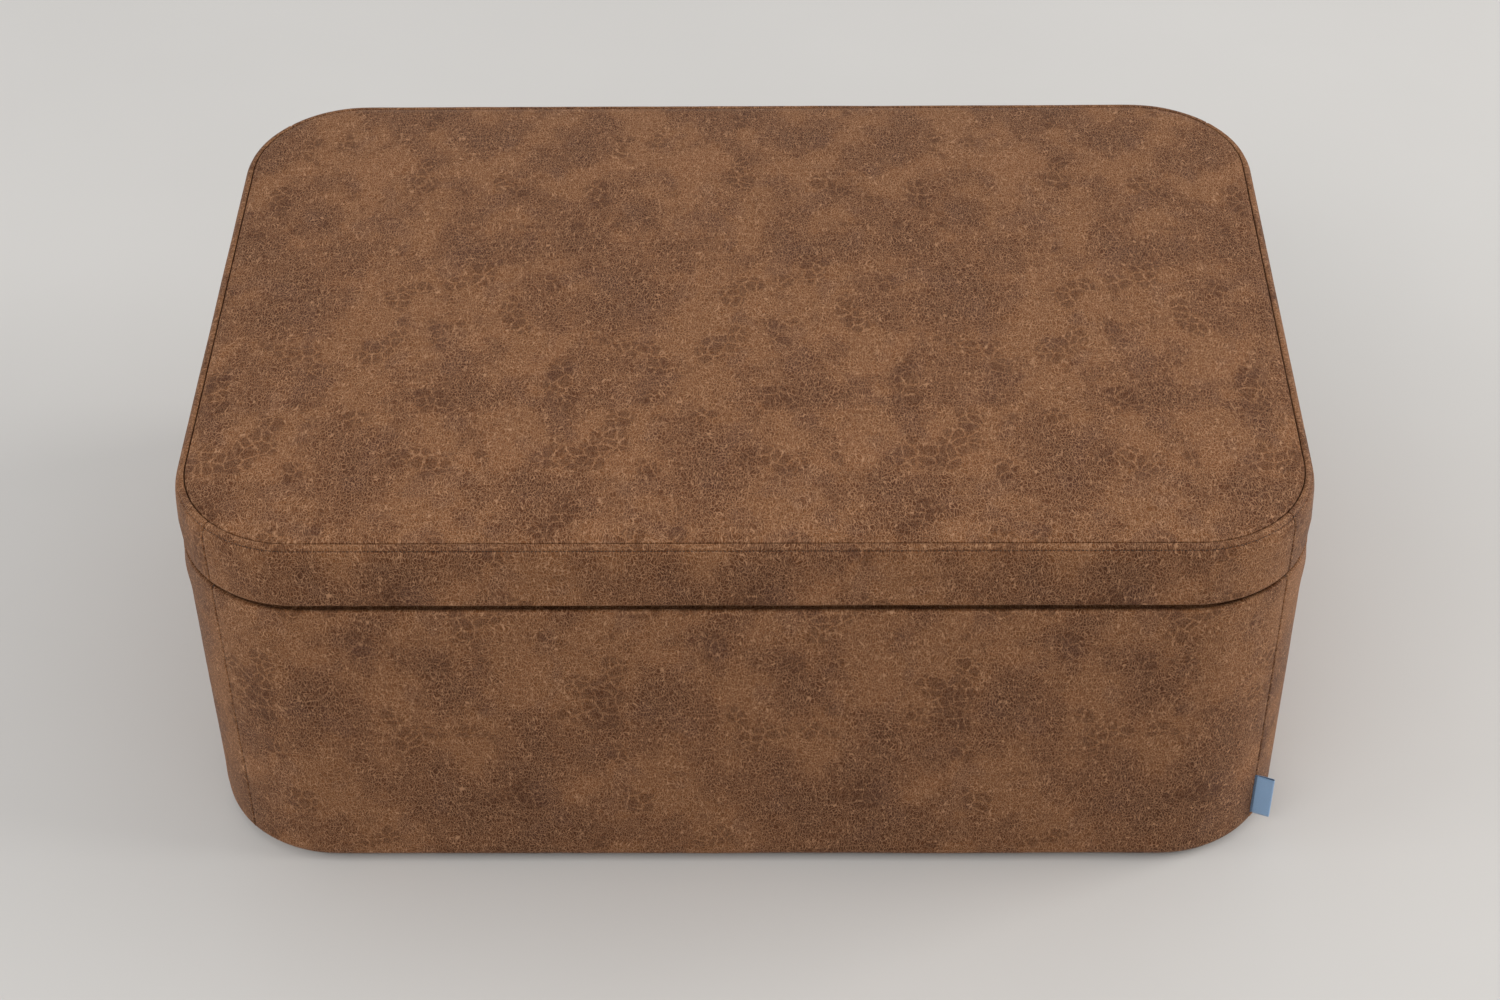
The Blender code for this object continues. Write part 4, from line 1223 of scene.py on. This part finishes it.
def light_and_camera():
    scene = bpy.context.scene
    world = bpy.data.worlds.new("studio")
    scene.world = world
    world.use_nodes = True
    background = world.node_tree.nodes["Background"]
    background.inputs["Color"].default_value = SKY
    background.inputs["Strength"].default_value = SKY_STRENGTH
    area_light("window", (5.5, 0.3, 2.6), (0, 0, 0.2), (3.6, 2.6), 215, WARM)
    area_light("front", (-1.6, -3.3, 3.65), (0, 0, 0.1), (3.6, 1.5), 54, WHITE)
    area_light("overhead", (-0.4, 0.9, 4.2), (0, 0, 0), (3.6, 3.0), 9, WHITE)
    area_light("fill", (-4.5, -1.0, 2.4), (-0.8, -0.3, 0), (2.4, 2.0), 45, WHITE)
    scene.view_settings.view_transform = "Standard"
    data = bpy.data.cameras.new("camera")
    data.lens, data.sensor_width = CAMERA_LENS, 36
    data.clip_start, data.clip_end = 0.05, 50
    camera = linked("camera", data)
    down, yaw, roll = CAMERA_DOWN, CAMERA_YAW, CAMERA_ROLL
    ahead = Vector((math.sin(yaw) * math.cos(down), math.cos(yaw) * math.cos(down), -math.sin(down)))
    level = Vector((math.cos(yaw), -math.sin(yaw), 0))
    upward = level.cross(ahead)
    right = level * math.cos(roll) + upward * math.sin(roll)
    top = upward * math.cos(roll) - level * math.sin(roll)
    turn = Matrix((right, top, -ahead)).transposed().to_4x4()
    camera.matrix_world = Matrix.Translation(CAMERA_PLACE) @ turn
    scene.camera = camera


def materials():
    leather_material("brown_leather")
    cloth_material("lining_cloth", 0.0009, (0.012, 0.012, 0.013), (0.085, 0.084, 0.088))
    felt_material("dust_cloth", (0.006, 0.006, 0.007), (0.035, 0.035, 0.037))
    plywood_material("plywood")
    metal_material("zinc_steel", (0.42, 0.42, 0.41), (0.72, 0.72, 0.70), 0.36)
    metal_material("chromed_rod", (0.70, 0.70, 0.71), (0.86, 0.86, 0.87), 0.12, scratch=(900, 900, 60))
    metal_material("black_steel", (0.016, 0.016, 0.017), (0.035, 0.035, 0.037), 0.34, 0.0, (120, 120, 120), 0.4)
    moulded_material("black_plastic", (0.018, 0.018, 0.019), (0.045, 0.045, 0.047), 0.48)
    moulded_material("rubber", (0.016, 0.016, 0.016), (0.038, 0.037, 0.036), 0.75)
    # partly the thread's own colour, partly painted shade: the thread is made very dark so that it also darkens the
    # grooves that it lies in
    thread_material("seam_thread", (0.014, 0.0065, 0.0038), (0.040, 0.019, 0.010))
    # painted shade: the navy stands for the shade inside the label's fold and where it goes into the seam
    blue, light_blue, shade_navy = (0.207, 0.343, 0.537), (0.329, 0.504, 0.744), (0.008, 0.013, 0.035)
    cloth_material("blue_tape", 0.0006, blue, light_blue, 0.75, 0.0002, shade_navy)


# How wide the worn edges of each slot's CAD nodes are
EDGES = {"plywood": 0.0008, "zinc_steel": 0.00025, "black_plastic": 0.0006, "rubber": 0.0005, "black_steel": 0.0004}


def dress_cad():
    """Each CAD node whose slot has a material here gets that material, and the nodes of the slots in EDGES also get
    worn edges.
    """
    for name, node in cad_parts.items():
        slot = node.data.materials[0].name.split(".")[0]
        if slot in MATERIALS:
            node.data.materials[0] = MATERIALS[slot]
        if slot in EDGES:
            for face in node.data.polygons:
                face.use_smooth = True
            bevel = node.modifiers.new("worn edges", "BEVEL")
            bevel.width, bevel.segments = EDGES[slot], 3
            bevel.limit_method, bevel.angle_limit = "ANGLE", math.radians(40)
            bevel.harden_normals = True


materials()
build_body()
build_border()
build_top()
build_label()
build_linings()
build_seams()
build_fixings()
build_staples()
dress_cad()
stage()
light_and_camera()
